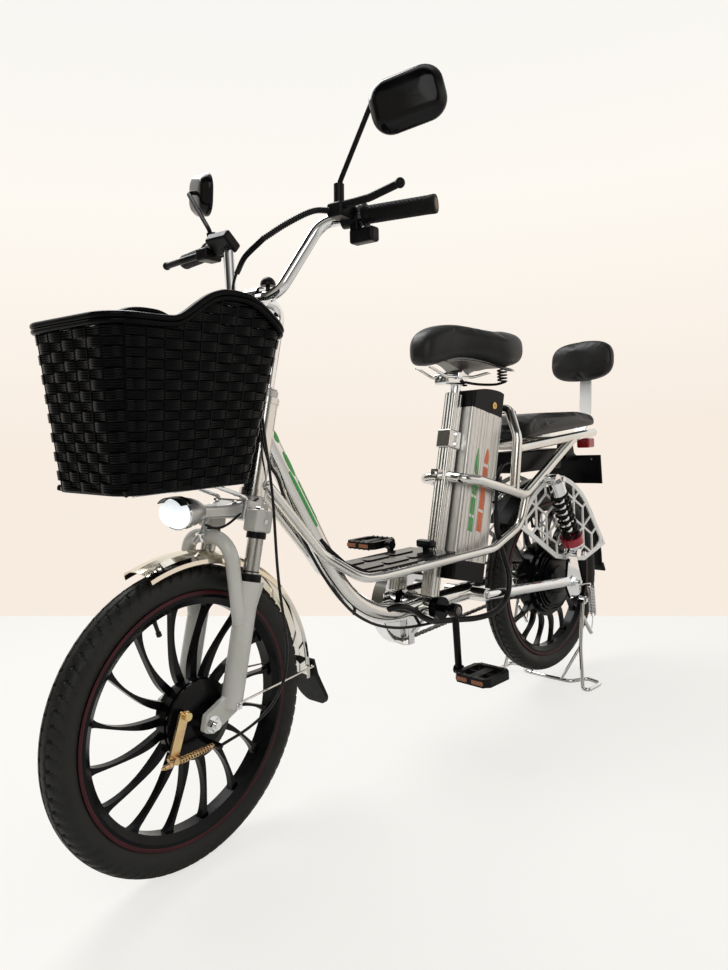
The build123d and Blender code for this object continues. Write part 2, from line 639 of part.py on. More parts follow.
def saddle_frame():
    """The seat post, its clamp and the wire rails under the saddle."""
    x = seat_axis_x(824)
    post = Vector(x, 0, 812) 
    top = Vector(seat_axis_x(862), 0, 862)
    stem = rod([post, top], None, 13.5)
    clamp = across(top.X, top.Z - 6, -26, 26, 15) + block((352, 428), (-22, 22), (834, 862), 7)
    rail = rod([Vector(490, 20, 874), Vector(432, 22, 852), Vector(330, 24, 852), Vector(250, 60, 872)], [40, 40], 3.5)
    return (stem + clamp + joined_sides(rail)) - saddle() - seat_tube()


def rear_pad():
    slope = [(192, 690), (-143, 714), (-150, 740), (-128, 757), (100, 757), (180, 744), (196, 716)]
    return side_plate(slope, -95, 95, 6)


@cache
def backrest_bracket():
    points = [Vector(-120, 0, 684), Vector(-215, 0, 690), Vector(-262, 0, 750), Vector(-276, 0, 900)]
    path = FilletPolyline(*points, radius=[30, 60])
    start = Plane(origin=path @ 0, x_dir=(0, 1, 0), z_dir=path % 0)
    return sweep(start * Rectangle(36, 6), path=path)


def backrest_pad():
    plane = Plane(origin=(-272, 0, 912), x_dir=(0, 1, 0), z_dir=(1, 0, 0.08))
    return extrude(plane * RectangleRounded(204, 122, 42), amount=38)


def rear_fender():
    """A black guard over the rear wheel with a flap behind."""
    outer = [(-35, 276), (-32, 283), (0, 289), (32, 283), (35, 276)]
    inner = [(left * 0.94, radius - 2.5) for left, radius in reversed(outer)]
    face = make_face(Polyline(*[(radius, left) for left, radius in outer + inner], close=True))
    section = Plane(origin=(0, 0, REAR_AXLE_Z), x_dir=(1, 0, 0), z_dir=(0, 0, 1)) * face
    start = section.rotate(Axis((0, 0, REAR_AXLE_Z), (0, -1, 0)), 40)
    shell = revolve(start, Axis((0, 0, REAR_AXLE_Z), (0, -1, 0)), 142)
    flap = side_plate([(-286, 292), (-289.5, 292), (-302, 268), (-298, 264)], -33, 33)
    return shell + flap


def plate_holder():
    """A blank plate carrier on an arm from the rack."""
    plate = side_plate([(-180, 632), (-176, 632), (-182, 548), (-186, 548)], -90, 90)
    arm = side_plate([(-178, 628), (-178, 616), (-110, 622), (-110, 640), (-126, 683), (-150, 685), (-160, 640)], -16, 16)
    holes = Compound(children=[Plane(origin=(-190, y, 622), z_dir=(1, 0, 0)) * Pos(0, 0, 10) * Cylinder(3, 40) for y in (-60, 60)])
    return plate + arm - holes - backrest_bracket()


def tail_lamp():
    return block((-196, -160), (24, 64), (654, 682), 5)


def guard_outline():
    corners = [(-233, 362), (-152, 474), (30, 589), (219, 469), (49, 362), (-20, 345), (-106, 332)]
    rear, knee, top, front, toe, mid, heel = corners
    edges = [Line(rear, knee), ThreePointArc(knee, (-74, 552), top), ThreePointArc(top, (142, 553), front),
             Line(front, toe), Line(toe, mid), Line(mid, heel), Line(heel, rear)]
    return make_face(edges)


def wheel_guards():
    """Flat lattice guards beside the rear wheel: rhombic cells inside a broad border."""
    sheet = guard_outline()
    inner = offset(sheet, -13)
    cell = 56.0
    bars = []
    for row in range(-3, 4):
        for column in range(-4, 5):
            x = -8 + cell * sqrt(3) * (column + 0.5 * (row % 2))
            z = 430 + cell * 1.5 * row
            if -300 < x < 300 and 280 < z < 620:
                bars += [Pos(x, z) * Rot(0, 0, 30 + 60 * turn) * Pos(cell / 2, 0) * Rectangle(cell, 5) for turn in range(6)]
    lattice = (Sketch() + bars) & inner
    net = (sheet - inner) + lattice
    plane = Plane(origin=(0, 66, 0), x_dir=(1, 0, 0), z_dir=(0, -1, 0))
    return both_sides(extrude(plane * net, amount=4, dir=(0, 1, 0)))


@cache
def controller_box():
    return block((-40, 190), (-44, 44), (604, 660), 6)


def chain():
    """The chain as one closed band round both sprockets."""
    front = Pos(CRANK_X, CRANK_Z) * Circle(CHAINRING_R + 5)
    rear = Pos(0, REAR_AXLE_Z) * Circle(SPROCKET_R + 5)
    outer = make_hull(front.edges() + rear.edges())
    front_in = Pos(CRANK_X, CRANK_Z) * Circle(CHAINRING_R + 0.6)
    rear_in = Pos(0, REAR_AXLE_Z) * Circle(SPROCKET_R + 0.6)
    inner = make_hull(front_in.edges() + rear_in.edges())
    plane = Plane(origin=(0, -CHAIN_Y - 4, 0), x_dir=(1, 0, 0), z_dir=(0, -1, 0))
    return extrude(plane * (outer - inner), amount=8, dir=(0, 1, 0))


# Cables ------------------------------------------------------------------------------

def cable_bends(points):
    """The largest arc that each corner of a cable's route has room for."""
    spots = [Vector(*point) for point in points]
    bends = []
    for before, spot, after in zip(spots, spots[1:], spots[2:]):
        run = min((spot - before).length, (after - spot).length)
        bends.append(0.45 * run / tan(radians((spot - before).get_angle(after - spot) / 2)))
    print("cable radii", [round(bend) for bend in bends])
    return bends


def frame_cables():
    """The wiring loom, clipped below the main tube, under the crank and up behind the battery."""
    route = [(986, 36, 742), (981, 35, 712), (970, 33, 676), (952, 30, 656), (936, 18, 634), (916, 5, 598), (885, 2, 540),
             (857, 2, 490), (838, 6, 452), (811, 19, 402), (765, 19, 352), (704, 20, 314), (636, 24, 293), (572, 30, 286), (512, 33, 283), (458, 44, 277),
             (408, 62, 271), (354, 80, 276), (308, 85, 302), (283, 79, 350), (284, 62, 404), (293, 50, 462), (294, 52, 522),
             (290, 53, 574), (272, 47, 614), (234, 38, 632), (190, 34, 634)]
    clips = [rod([Vector(984, 36, 726), Vector(970, 12, 722)], None, 4)]
    clips += [rod([Vector(877, 2, 525), Vector(858, 0, 534)], None, 3.5), rod([Vector(766, 20, 353), Vector(744, 2, 365)], None, 3.5)]
    clips += [rod([Vector(572, 30, 286), Vector(566, 6, 308)], None, 3.5), rod([Vector(294, 53, 540), Vector(300, 40, 541)], None, 3.5)]
    boot = [(672, 8, 336), (636, 29, 345), (600, 34, 330), (559, 32, 300), (520, 32, 283), (496, 35, 282)]
    loom = rod([Vector(984, 36, 726), Vector(981, 35, 712)], None, LOOM_FRONT_R)
    for run, radius in ((route[:15], LOOM_FRONT_R), (route[14:23], SLEEVE_R), (route[22:], LOOM_R), (boot, SLEEVE_R)):
        loom = loom + rod([Vector(*point) for point in run], cable_bends(run), radius)
    for clip in clips:
        loom = loom + clip
    return loom - main_tube() - battery_case() - controller_box()


def steering_cables():
    """The front brake cable from the left lever down to the drum, and the lamp's lead."""
    brake = [(944, 168, 1114), (966, 146, 1112), (984, 104, 1096), (992, 56, 1078), (1000, 8, 1048), (1008, -14, 1004), (996, -20, 950),
             (980, -4, 896), (986, 20, 842), (1000, 42, 788), (1014, 62, 736), (1019, 76, 680), (1020, 84, 622), (1022, 88, 566),
             (1021, 89, 510), (1015, 88, 454), (1004, 86, 398), (997, 85, 342), (1006, 84, 290), (1040, 82, 250), (1092, 78, 230),
             (FRONT_X - 8, 74, FRONT_Z - 38)]
    lead = [(1006, 32, 620), (1034, 36, 610), (1058, 34, 594), (1082, 30, 580), (1102, 24, 576), (1118, 16, 586)]
    cable = rod([Vector(*point) for point in brake], cable_bends(brake), BRAKE_CABLE_R)
    lamp_lead = rod([Vector(*point) for point in lead], cable_bends(lead), 2.2)
    cable = cable - bar_controls() - brake_plate() - basket_support()
    lamp_lead = lamp_lead - lamp_body() - fork_crown() - crown_caps() - fork_lowers() - basket_support() - lamp_bracket()
    return Compound(children=[cable, lamp_lead])


# Cranks, pedals and stand --------------------------------------------------------------

def crank_arm(side):
    """One arm from the spindle to its pedal; the left one hangs, the right one stands."""
    end_z = CRANK_Z - side * CRANK_LENGTH
    lean = -5
    arm = rod([Vector(CRANK_X, side * CRANK_Y, CRANK_Z), Vector(CRANK_X + lean * side, side * CRANK_Y, end_z)], None, 8)
    boss = across(CRANK_X, CRANK_Z, side * CRANK_Y - 9, side * CRANK_Y + 9, 16)
    eye = across(CRANK_X + lean * side, end_z, side * CRANK_Y - 8, side * CRANK_Y + 8, 11)
    return arm + boss + eye - across(CRANK_X + lean * side, end_z, side * CRANK_Y - 12, side * CRANK_Y + 12, 6)


def cranks():
    spindle = across(CRANK_X, CRANK_Z, -CRANK_Y + 6, CRANK_Y - 6, 8)
    sensor_ring = across(CRANK_X, CRANK_Z, 43, 58, 26)
    return crank_arm(1) + crank_arm(-1) + spindle + sensor_ring


def chainring():
    ring = across(CRANK_X, CRANK_Z, -CHAIN_Y - 1.5, -CHAIN_Y + 1.5, CHAINRING_R)
    web = across(CRANK_X, CRANK_Z, -CHAIN_Y - 9, -CHAIN_Y - 1.5, 72) - across(CRANK_X, CRANK_Z, -80, -50, 64)
    boss = across(CRANK_X, CRANK_Z, -CRANK_Y + 10, -CHAIN_Y + 2, 22)
    return ring + web + boss - across(CRANK_X, CRANK_Z, -100, 0, 8)


def chain_guard():
    """A plated half cover round the front of the chainring, held by a strip below the crank."""
    cover = across(CRANK_X, CRANK_Z, -CHAIN_Y - 19, -38, 100) - across(CRANK_X, CRANK_Z, -CHAIN_Y - 17, -20, 98)
    cover = cover - across(CRANK_X, CRANK_Z, -100, -20, 84)
    front = block((CRANK_X - 2, CRANK_X + 140), (-100, -20), (CRANK_Z - 120, CRANK_Z + 120))
    strip = block((CRANK_X - 6, CRANK_X + 13), (-41, -38), (CRANK_Z - 99, CRANK_Z - 22))
    mount = across(CRANK_X, CRANK_Z, -41, -36, 30) - across(CRANK_X, CRANK_Z, -50, -20, 14)
    brace = rod([Vector(CRANK_X + 3, -40, 248), Vector(448, -15, 307)], None, 3.5)
    return (cover & front) + strip + mount + brace - main_tube()


def pedal(side):
    x = CRANK_X - 5 * side
    z = CRANK_Z - side * CRANK_LENGTH
    outline = chamfer(Rectangle(94, PEDAL_OUT_Y - PEDAL_IN_Y).vertices(), 13)
    frame = extrude(outline - RectangleRounded(70, 70, 6), amount=9, both=True) + Box(94, 22, 13)
    frame = Pos(x, side * (PEDAL_IN_Y + PEDAL_OUT_Y) / 2, z) * frame
    low, high = sorted((side * (CRANK_Y - 8), side * PEDAL_OUT_Y))
    return frame + across(x, z, low, high, 5.95)


def stand():
    """A double-leg stand of bent wire: a foot loop each side and a bar across the ground."""
    low = WIRE_R
    points = [Vector(STAND_X, STAND_Y, STAND_Z), Vector(3, STAND_Y + 6, 112), Vector(30, 128, low), Vector(36, 146, low),
              Vector(-34, 148, low), Vector(-48, 100, low), Vector(2, 74, low), Vector(4, 0, low)]
    wire = rod(points, [60, 8, 8, 14, 20, 20], WIRE_R)
    eye = across(STAND_X, STAND_Z, ARM_Y + 5, STAND_Y + 8, 11)
    brace = rod([Vector(3, STAND_Y + 6, 113), Vector(3, 46, low)], None, 4)
    tab = rod([Vector(STAND_X + 6, STAND_Y + 1, 192), Vector(STAND_X - 38, STAND_Y + 2, 134)], None, 5.5)
    return joined_sides(wire + eye + brace + tab)


def placed(shape):
    """Moves a piece into the parked bicycle's frame."""
    moved = [Location((-BOX_MIDDLE_X, -BOX_MIDDLE_Y, 0)) * solid for solid in shape.solids()]
    return moved[0] if len(moved) == 1 else Compound(moved)


frame_parts = {
    "main_tube": main_tube,
    "side_rails": side_rails,
    "seat_tube": seat_tube,
    "upper_loop": upper_loop,
    "rear_rack": rear_rack,
    "battery_hoop": battery_hoop,
    "swingarm": swingarm,
    "rear_axle": rear_axle,
    "shock_bodies": shock_bodies,
    "shock_springs": shock_springs,
    "shock_collars": shock_collars,
    "battery_case": battery_case,
    "battery_cap": battery_cap,
    "battery_base": battery_base,
    "footboard": footboard,
    "saddle": saddle,
    "saddle_frame": saddle_frame,
    "rear_pad": rear_pad,
    "backrest_pad": backrest_pad,
    "backrest_bracket": backrest_bracket,
    "rear_fender": rear_fender,
    "plate_holder": plate_holder,
    "tail_lamp": tail_lamp,
    "wheel_guards": wheel_guards,
    "controller_box": controller_box,
    "chain": chain,
    "frame_cables": frame_cables,
    "cranks": cranks,
    "chainring": chainring,
    "chain_guard": chain_guard,
    "left_pedal": lambda: pedal(1),
    "right_pedal": lambda: pedal(-1),
    "rear_tyre": lambda: tyre(0, REAR_AXLE_Z),
    "rear_wheel": lambda: rear_wheel(0, REAR_AXLE_Z),
    "hub_motor": lambda: hub_motor(0, REAR_AXLE_Z),
    "stand": stand,
}
steering_parts = {
    "fork_crown": fork_crown,
    "crown_caps": crown_caps,
    "stanchions": stanchions,
    "fork_lowers": fork_lowers,
    "front_axle": front_axle_bar,
    "brake_plate": brake_plate,
    "brake_arm": brake_arm,
    "front_fender": front_fender,
    "front_flap": front_flap,
    "lamp_body": lamp_body,
    "lamp_lens": lamp_lens,
    "lamp_bracket": lamp_bracket,
    "handlebar": handlebar,
    "grips": grips,
    "bar_controls": bar_controls,
    "mirrors": mirrors,
    "basket": basket,
    "basket_support": basket_support,
    "steering_cables": steering_cables,
    "front_tyre": lambda: tyre(FRONT_X, FRONT_Z),
    "front_wheel": lambda: front_wheel(FRONT_X, FRONT_Z),
}

solids = {name: placed(make()) for name, make in frame_parts.items()}
solids.update({name: placed(turned(make())) for name, make in steering_parts.items()})
for name, solid in solids.items():
    export_step(solid, f"parts/{name}.step")
box = Compound(children=list(solids.values())).bounding_box()
print("box", [round(v, 1) for v in (*box.min, *box.max)])
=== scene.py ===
import math

import bmesh
import bpy
from mathutils import Matrix, Vector


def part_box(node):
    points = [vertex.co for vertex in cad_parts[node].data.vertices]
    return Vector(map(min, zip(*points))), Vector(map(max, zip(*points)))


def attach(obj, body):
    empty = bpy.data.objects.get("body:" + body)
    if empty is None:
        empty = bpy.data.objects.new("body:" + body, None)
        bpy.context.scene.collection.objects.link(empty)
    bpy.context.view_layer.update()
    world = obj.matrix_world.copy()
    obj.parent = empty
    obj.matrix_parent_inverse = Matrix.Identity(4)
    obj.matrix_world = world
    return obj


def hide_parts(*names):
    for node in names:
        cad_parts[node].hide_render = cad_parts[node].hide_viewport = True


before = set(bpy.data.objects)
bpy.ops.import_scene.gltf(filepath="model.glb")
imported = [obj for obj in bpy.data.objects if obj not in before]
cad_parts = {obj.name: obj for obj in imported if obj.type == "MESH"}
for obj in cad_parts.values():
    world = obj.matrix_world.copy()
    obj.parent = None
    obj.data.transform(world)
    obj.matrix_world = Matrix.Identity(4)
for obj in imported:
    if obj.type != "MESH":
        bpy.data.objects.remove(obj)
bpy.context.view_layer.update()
mm = 0.001

# The bicycle is drawn in millimetres from the ground point below the rear axle:
# x forward, y to the rider's left, z up.
axleLow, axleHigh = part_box("rear_axle")
originX = (axleLow[0] + axleHigh[0]) / 2
originY = (axleLow[1] + axleHigh[1]) / 2
rearAxleZ = 292.0
headLow = Vector((990, 0, 620))
headTilt = math.radians(75.5)
steerUp = Vector((-math.cos(headTilt), 0, math.sin(headTilt)))
forkAhead = Vector((math.sin(headTilt), 0, math.cos(headTilt)))
steerTurn = Matrix.Translation(headLow) @ Matrix.Rotation(math.radians(8.5), 4, steerUp) @ Matrix.Translation(-headLow)
frontAxle = headLow + forkAhead * 74.5 - steerUp * 391


def toScene(point, steering=False):
    spot = Vector(point)
    if steering:
        spot = steerTurn @ spot
    return Vector((spot.x * mm + originX, spot.y * mm + originY, spot.z * mm))


def onFork(ahead, left, up):
    return headLow + forkAhead * ahead + steerUp * up + Vector((0, left, 0))


# Finishes: every surface gets a node material with its own patches of two colours, polish and grain.
# spread: how fine the patches are; stretch: their direction; bump: fineness and depth of the grain
finishes = {
    "polishedAluminium": dict(colour=(0.76, 0.755, 0.73), other=(0.68, 0.67, 0.64), metallic=1.0, rough=(0.12, 0.2),
        spread=9),
    "ribbedAluminium": dict(colour=(0.7, 0.695, 0.67), other=(0.65, 0.64, 0.62), metallic=1.0, rough=(0.17, 0.22),
        spread=240, stretch=(1, 1, 0.02)),
    "satinAluminium": dict(colour=(0.66, 0.65, 0.63), other=(0.64, 0.63, 0.61), metallic=1.0, rough=(0.33, 0.36),
        spread=300, stretch=(1, 1, 0.015)),
    "chromePlate": dict(colour=(0.86, 0.87, 0.88), other=(0.8, 0.8, 0.81), metallic=1.0, rough=(0.03, 0.08),
        spread=9),
    "goldChrome": dict(colour=(0.8, 0.79, 0.76), other=(0.74, 0.64, 0.46), metallic=1.0, rough=(0.04, 0.09),
        spread=5),
    "brushedSteel": dict(colour=(0.58, 0.57, 0.55), other=(0.48, 0.47, 0.45), metallic=1.0, rough=(0.2, 0.3),
        spread=340, stretch=(1, 1, 0.03)),
    "castSilver": dict(colour=(0.56, 0.56, 0.55), other=(0.46, 0.46, 0.45), metallic=0.9, rough=(0.3, 0.42),
        spread=40, bump=(700, 0.06)),
    "zincGold": dict(colour=(0.76, 0.58, 0.28), other=(0.7, 0.46, 0.3), metallic=1.0, rough=(0.2, 0.34), spread=45,
        bump=(600, 0.03)),
    # the fork's white paint darkened to olive grey: painted shade, the same paint as guardWhite at its own tone
    "shadedWhitePaint": dict(colour=(0.56, 0.555, 0.51), other=(0.5, 0.495, 0.455), rough=(0.24, 0.34), spread=12,
        bump=(900, 0.02), coat=0.5),
    "guardWhite": dict(colour=(0.9, 0.9, 0.87), other=(0.85, 0.85, 0.82), rough=(0.24, 0.34), spread=12,
        bump=(900, 0.02), coat=0.5),
    "blackPaint": dict(colour=(0.0015, 0.0015, 0.002), other=(0.004, 0.004, 0.0045), rough=(0.16, 0.26), spread=40,
        bump=(900, 0.02), shine=0.16),
    "redPaint": dict(colour=(0.3, 0.01, 0.025), other=(0.42, 0.02, 0.04), metallic=0.3, rough=(0.24, 0.34), spread=20,
        bump=(600, 0.02), coat=0.5),
    "rimStripe": dict(colour=(0.06, 0.006, 0.01), other=(0.038, 0.004, 0.007), rough=(0.36, 0.46), spread=20,
        bump=(600, 0.02), shine=0.25),
    "mouldedBlack": dict(colour=(0.0025, 0.0025, 0.003), other=(0.005, 0.005, 0.0055), rough=(0.3, 0.42), spread=30,
        bump=(1500, 0.05), shine=0.16),
    "glossBlack": dict(colour=(0.002, 0.002, 0.0025), other=(0.004, 0.004, 0.0045), rough=(0.1, 0.18), spread=25,
        bump=(500, 0.02), shine=0.22),
    "gripRubber": dict(colour=(0.003, 0.003, 0.003), other=(0.006, 0.006, 0.006), rough=(0.48, 0.62), spread=60,
        bump=(1400, 0.08), shine=0.16),
    "tyreRubber": dict(colour=(0.009, 0.009, 0.008), other=(0.017, 0.017, 0.015), rough=(0.42, 0.58), spread=26,
        bump=(900, 0.1), shine=0.28),
    "blackVinyl": dict(colour=(0.006, 0.006, 0.006), other=(0.01, 0.01, 0.01), rough=(0.34, 0.46), spread=12,
        bump=(900, 0.1), shine=0.36, leather=True),
    "wovenCane": dict(colour=(0.0007, 0.0007, 0.0009), other=(0.0022, 0.0022, 0.0026), rough=(0.16, 0.28), spread=45,
        stretch=(1, 1, 5), bump=(500, 0.06), shine=0.07),
    "palePlastic": dict(colour=(0.46, 0.46, 0.43), other=(0.38, 0.38, 0.36), rough=(0.4, 0.55), spread=20,
        bump=(900, 0.04)),
    "oiledSteel": dict(colour=(0.2, 0.19, 0.18), other=(0.12, 0.11, 0.1), metallic=1.0, rough=(0.3, 0.45), spread=120,
        bump=(900, 0.04)),
    "amberReflector": dict(colour=(0.3, 0.085, 0.012), other=(0.17, 0.045, 0.006), rough=(0.14, 0.24), spread=300,
        bump=(500, 0.2), coat=0.5),
    "redLens": dict(colour=(0.44, 0.01, 0.015), other=(0.3, 0.006, 0.01), rough=(0.1, 0.18), spread=200,
        bump=(400, 0.2), coat=0.8),
    "lampGlass": dict(colour=(0.8, 0.83, 0.88), other=(0.62, 0.66, 0.74), rough=(0.06, 0.14), spread=110,
        bump=(260, 0.14), glow=0.75),
    "greenStripe": dict(colour=(0.035, 0.36, 0.06), other=(0.028, 0.3, 0.05), rough=(0.3, 0.4), spread=30,
        bump=(800, 0.02), coat=0.2),
    "orangeStripe": dict(colour=(0.72, 0.15, 0.04), other=(0.66, 0.12, 0.03), rough=(0.3, 0.4), spread=30,
        bump=(800, 0.02), coat=0.2),
    "mirrorGlass": dict(colour=(0.88, 0.9, 0.92), other=(0.86, 0.88, 0.9), metallic=1.0, rough=(0.01, 0.03),
        spread=4),
    "brass": dict(colour=(0.72, 0.5, 0.2), other=(0.6, 0.4, 0.15), metallic=1.0, rough=(0.2, 0.32), spread=80,
        bump=(600, 0.03)),
    "tanPlug": dict(colour=(0.2, 0.13, 0.07), other=(0.15, 0.1, 0.05), rough=(0.5, 0.65), spread=60,
        bump=(900, 0.05)),
    "cableBlack": dict(colour=(0.002, 0.002, 0.0025), other=(0.004, 0.004, 0.0045), rough=(0.22, 0.34), spread=50,
        bump=(800, 0.03), shine=0.3),
}
madeFinishes = {}


def addNode(nodes, kind, inputs=None, **settings):
    node = nodes.new("ShaderNode" + kind)
    for name, value in settings.items():
        setattr(node, name, value)
    for name, value in (inputs or {}).items():
        node.inputs[name].default_value = value
    return node


def join(source, output, target, into):
    source.id_data.links.new(source.outputs[output], target.inputs[into])


def addRamp(nodes, stops):
    ramp = addNode(nodes, "ValToRGB")
    elements = ramp.color_ramp.elements
    for i, (place, tone) in enumerate(stops):
        stop = elements[i] if i < 2 else elements.new(place)
        stop.position = place
        stop.color = (*tone, 1)
    return ramp


def newMaterial(name):
    material = bpy.data.materials.new(name)
    material.use_nodes = True
    return material, material.node_tree.nodes


def surface(name):
    if name in madeFinishes:
        return madeFinishes[name]
    plan = finishes[name]
    material, nodes = newMaterial(name)
    shader = nodes["Principled BSDF"]
    coords = addNode(nodes, "TexCoord")
    mapping = addNode(nodes, "Mapping", {"Scale": plan.get("stretch", (1, 1, 1))})
    join(coords, "Object", mapping, "Vector")
    patch = addNode(nodes, "TexNoise", {"Scale": plan["spread"], "Detail": 5})
    join(mapping, "Vector", patch, "Vector")
    tint = addRamp(nodes, ((0.35, plan["colour"]), (0.68, plan["other"])))
    join(patch, "Fac", tint, "Fac")
    join(tint, "Color", shader, "Base Color")
    low, high = plan["rough"]
    polish = addNode(nodes, "MapRange", {"From Min": 0.3, "From Max": 0.7, "To Min": low, "To Max": high})
    join(patch, "Fac", polish, "Value")
    join(polish, "Result", shader, "Roughness")
    shader.inputs["Metallic"].default_value = plan.get("metallic", 0.0)
    shader.inputs["Specular IOR Level"].default_value = plan.get("shine", 0.5)
    if plan.get("glow"):
        shader.inputs["Emission Color"].default_value = (0.93, 0.97, 1.0, 1)
        shader.inputs["Emission Strength"].default_value = plan["glow"]
    if plan.get("coat"):
        shader.inputs["Coat Weight"].default_value = plan["coat"]
        shader.inputs["Coat Roughness"].default_value = 0.12
    if plan.get("bump"):
        scale, strength = plan["bump"]
        leather = plan.get("leather")
        grain = addNode(nodes, "TexVoronoi" if leather else "TexNoise", {"Scale": scale})
        if not leather:
            grain.inputs["Detail"].default_value = 3
        join(mapping, "Vector", grain, "Vector")
        bump = addNode(nodes, "Bump", {"Strength": strength, "Distance": 0.0006})
        join(grain, "Distance" if leather else "Fac", bump, "Height")
        join(bump, "Normal", shader, "Normal")
    madeFinishes[name] = material
    return material


# Camera, floor and light
cameraPlan = dict(place=(1758.1, 1091.1, 723.5), yaw=225.85, pitch=-4.01, roll=-2.87, lens=26.37, sensor=36)


def placeCamera():
    yaw, pitch, roll = (math.radians(cameraPlan[k]) for k in ("yaw", "pitch", "roll"))
    look = Vector((math.cos(pitch) * math.cos(yaw), math.cos(pitch) * math.sin(yaw), math.sin(pitch)))
    side = look.cross(Vector((0, 0, 1))).normalized()
    up = side.cross(look)
    sideTurned = math.cos(roll) * side + math.sin(roll) * up
    upTurned = -math.sin(roll) * side + math.cos(roll) * up
    data = bpy.data.cameras.new("camera")
    data.lens = cameraPlan["lens"]
    data.sensor_width = cameraPlan["sensor"]
    data.clip_start = 0.02
    camera = bpy.data.objects.new("camera", data)
    turn = Matrix((sideTurned, upTurned, -look)).transposed().to_4x4()
    camera.matrix_world = Matrix.Translation(toScene(cameraPlan["place"])) @ turn
    bpy.context.collection.objects.link(camera)
    bpy.context.scene.camera = camera


studioPlan = dict(floorColour=(0.87, 0.86, 0.83), floorGlow=0.72, floorSide=12, wallTop=(0.985, 0.95, 0.885),
                  wallLow=(0.94, 0.84, 0.75), farEdge=((764, -2307, 0), (-950, 170, 0)), worldLight=0.5,
                  keyPlace=(700, -1300, 2700), keyPower=44.0, keySize=1.5, fillPlace=(2300, 1900, 2000), fillShare=0.35,
                  fillSize=1.6, backYaw=-28)


def makeFloor():
    left, right = (toScene(spot) for spot in studioPlan["farEdge"])
    side = (right - left).normalized()
    ahead = side.cross(Vector((0, 0, 1)))
    middle = (left + right) / 2
    if ahead.dot(middle - toScene(cameraPlan["place"])) < 0:
        ahead = -ahead
    far = Vector((middle.x, middle.y, 0))
    wide, deep = side * studioPlan["floorSide"], ahead * studioPlan["floorSide"]
    mesh = bpy.data.meshes.new("studioFloor")
    corners = (far + wide, far - wide, far - deep - wide, far - deep + wide)
    mesh.from_pydata([tuple(c) for c in corners], [], [(0, 1, 2, 3)])
    floor = bpy.data.objects.new("studioFloor", mesh)
    bpy.context.collection.objects.link(floor)
    if mesh.polygons[0].normal.z < 0:
        mesh.flip_normals()
    material, nodes = newMaterial("floorPaint")
    shader = nodes["Principled BSDF"]
    noise = addNode(nodes, "TexNoise", {"Scale": 2.2})
    tone = studioPlan["floorColour"]
    ramp = addRamp(nodes, ((0, tone), (1, [c * 1.03 for c in tone])))
    join(noise, "Fac", ramp, "Fac")
    join(ramp, "Color", shader, "Base Color")
    shader.inputs["Roughness"].default_value = 0.42
    # seen straight on, part of the floor's paleness doesn't hang on the light
    pale = addNode(nodes, "Emission", {"Color": (1, 0.985, 0.95, 1)})
    rays = addNode(nodes, "LightPath")
    share = addNode(nodes, "Math", operation="MULTIPLY")
    share.inputs[1].default_value = studioPlan["floorGlow"]
    join(rays, "Is Camera Ray", share, 0)
    mix = addNode(nodes, "MixShader")
    join(share, "Value", mix, "Fac")
    join(shader, "BSDF", mix, 1)
    join(pale, "Emission", mix, 2)
    join(mix, "Shader", nodes["Material Output"], "Surface")
    mesh.materials.append(material)


def makeRoom():
    world = bpy.data.worlds.new("studio")
    bpy.context.scene.world = world
    world.use_nodes = True
    nodes = world.node_tree.nodes
    nodes.clear()
    coords = addNode(nodes, "TexCoord")
    split = addNode(nodes, "SeparateXYZ")
    join(coords, "Generated", split, "Vector")
    wall = addRamp(nodes, ((0.0, studioPlan["wallLow"]), (0.30, studioPlan["wallTop"]), (0.55, (0.93, 0.92, 0.90)),
                           (0.62, (0.16, 0.15, 0.14)), (0.86, (0.30, 0.29, 0.28)), (0.95, (1, 1, 1))))
    join(split, "Z", wall, "Fac")
    # in the metal, the side of the room behind the viewer is dark, which gives the tubes their streaks
    back = addNode(nodes, "VectorMath", operation="DOT_PRODUCT")
    yaw = math.radians(cameraPlan["yaw"] + studioPlan["backYaw"])
    back.inputs[1].default_value = (-math.cos(yaw), -math.sin(yaw), 0)
    join(coords, "Generated", back, 0)
    shade = addRamp(nodes, ((0.02, (1, 1, 1)), (0.28, (0.20, 0.192, 0.165)), (0.46, (0.06, 0.058, 0.046)),
                            (0.70, (0.09, 0.088, 0.075)), (0.84, (0.45, 0.44, 0.41))))
    join(back, "Value", shade, "Fac")
    room = addNode(nodes, "Mix", data_type="RGBA", blend_type="MULTIPLY")
    join(wall, "Color", room, "A")
    join(shade, "Color", room, "B")
    seen = addNode(nodes, "Background")
    join(room, "Result", seen, "Color")
    soft = addNode(nodes, "Background", {"Color": (1, 0.99, 0.97, 1), "Strength": studioPlan["worldLight"]})
    path = addNode(nodes, "LightPath")
    join(path, "Is Glossy Ray", room, "Factor")
    last, outlet = path, "Is Camera Ray"
    for name in ("Is Glossy Ray", "Is Transmission Ray"):
        either = addNode(nodes, "Math", operation="MAXIMUM")
        join(last, outlet, either, 0)
        join(path, name, either, 1)
        last, outlet = either, "Value"
    mix = addNode(nodes, "MixShader")
    join(last, outlet, mix, "Fac")
    join(soft, "Background", mix, 1)
    join(seen, "Background", mix, 2)
    join(mix, "Shader", addNode(nodes, "OutputWorld"), "Surface")


def addLamp(name, spot, power, size):
    lamp = bpy.data.lights.new(name, "AREA")
    lamp.energy = power
    lamp.size = size
    holder = bpy.data.objects.new(name, lamp)
    place = toScene(spot)
    aim = (toScene((550, 0, 500)) - place).to_track_quat("-Z", "Y")
    holder.matrix_world = Matrix.Translation(place) @ aim.to_matrix().to_4x4()
    bpy.context.collection.objects.link(holder)


def lightStudio():
    makeRoom()
    power = studioPlan["keyPower"]
    addLamp("keyLight", studioPlan["keyPlace"], power, studioPlan["keySize"])
    addLamp("fillLight", studioPlan["fillPlace"], power * studioPlan["fillShare"], studioPlan["fillSize"])
    bpy.context.scene.view_settings.view_transform = "Standard"


placeCamera()
makeFloor()
lightStudio()
print("stage: camera, floor and light")


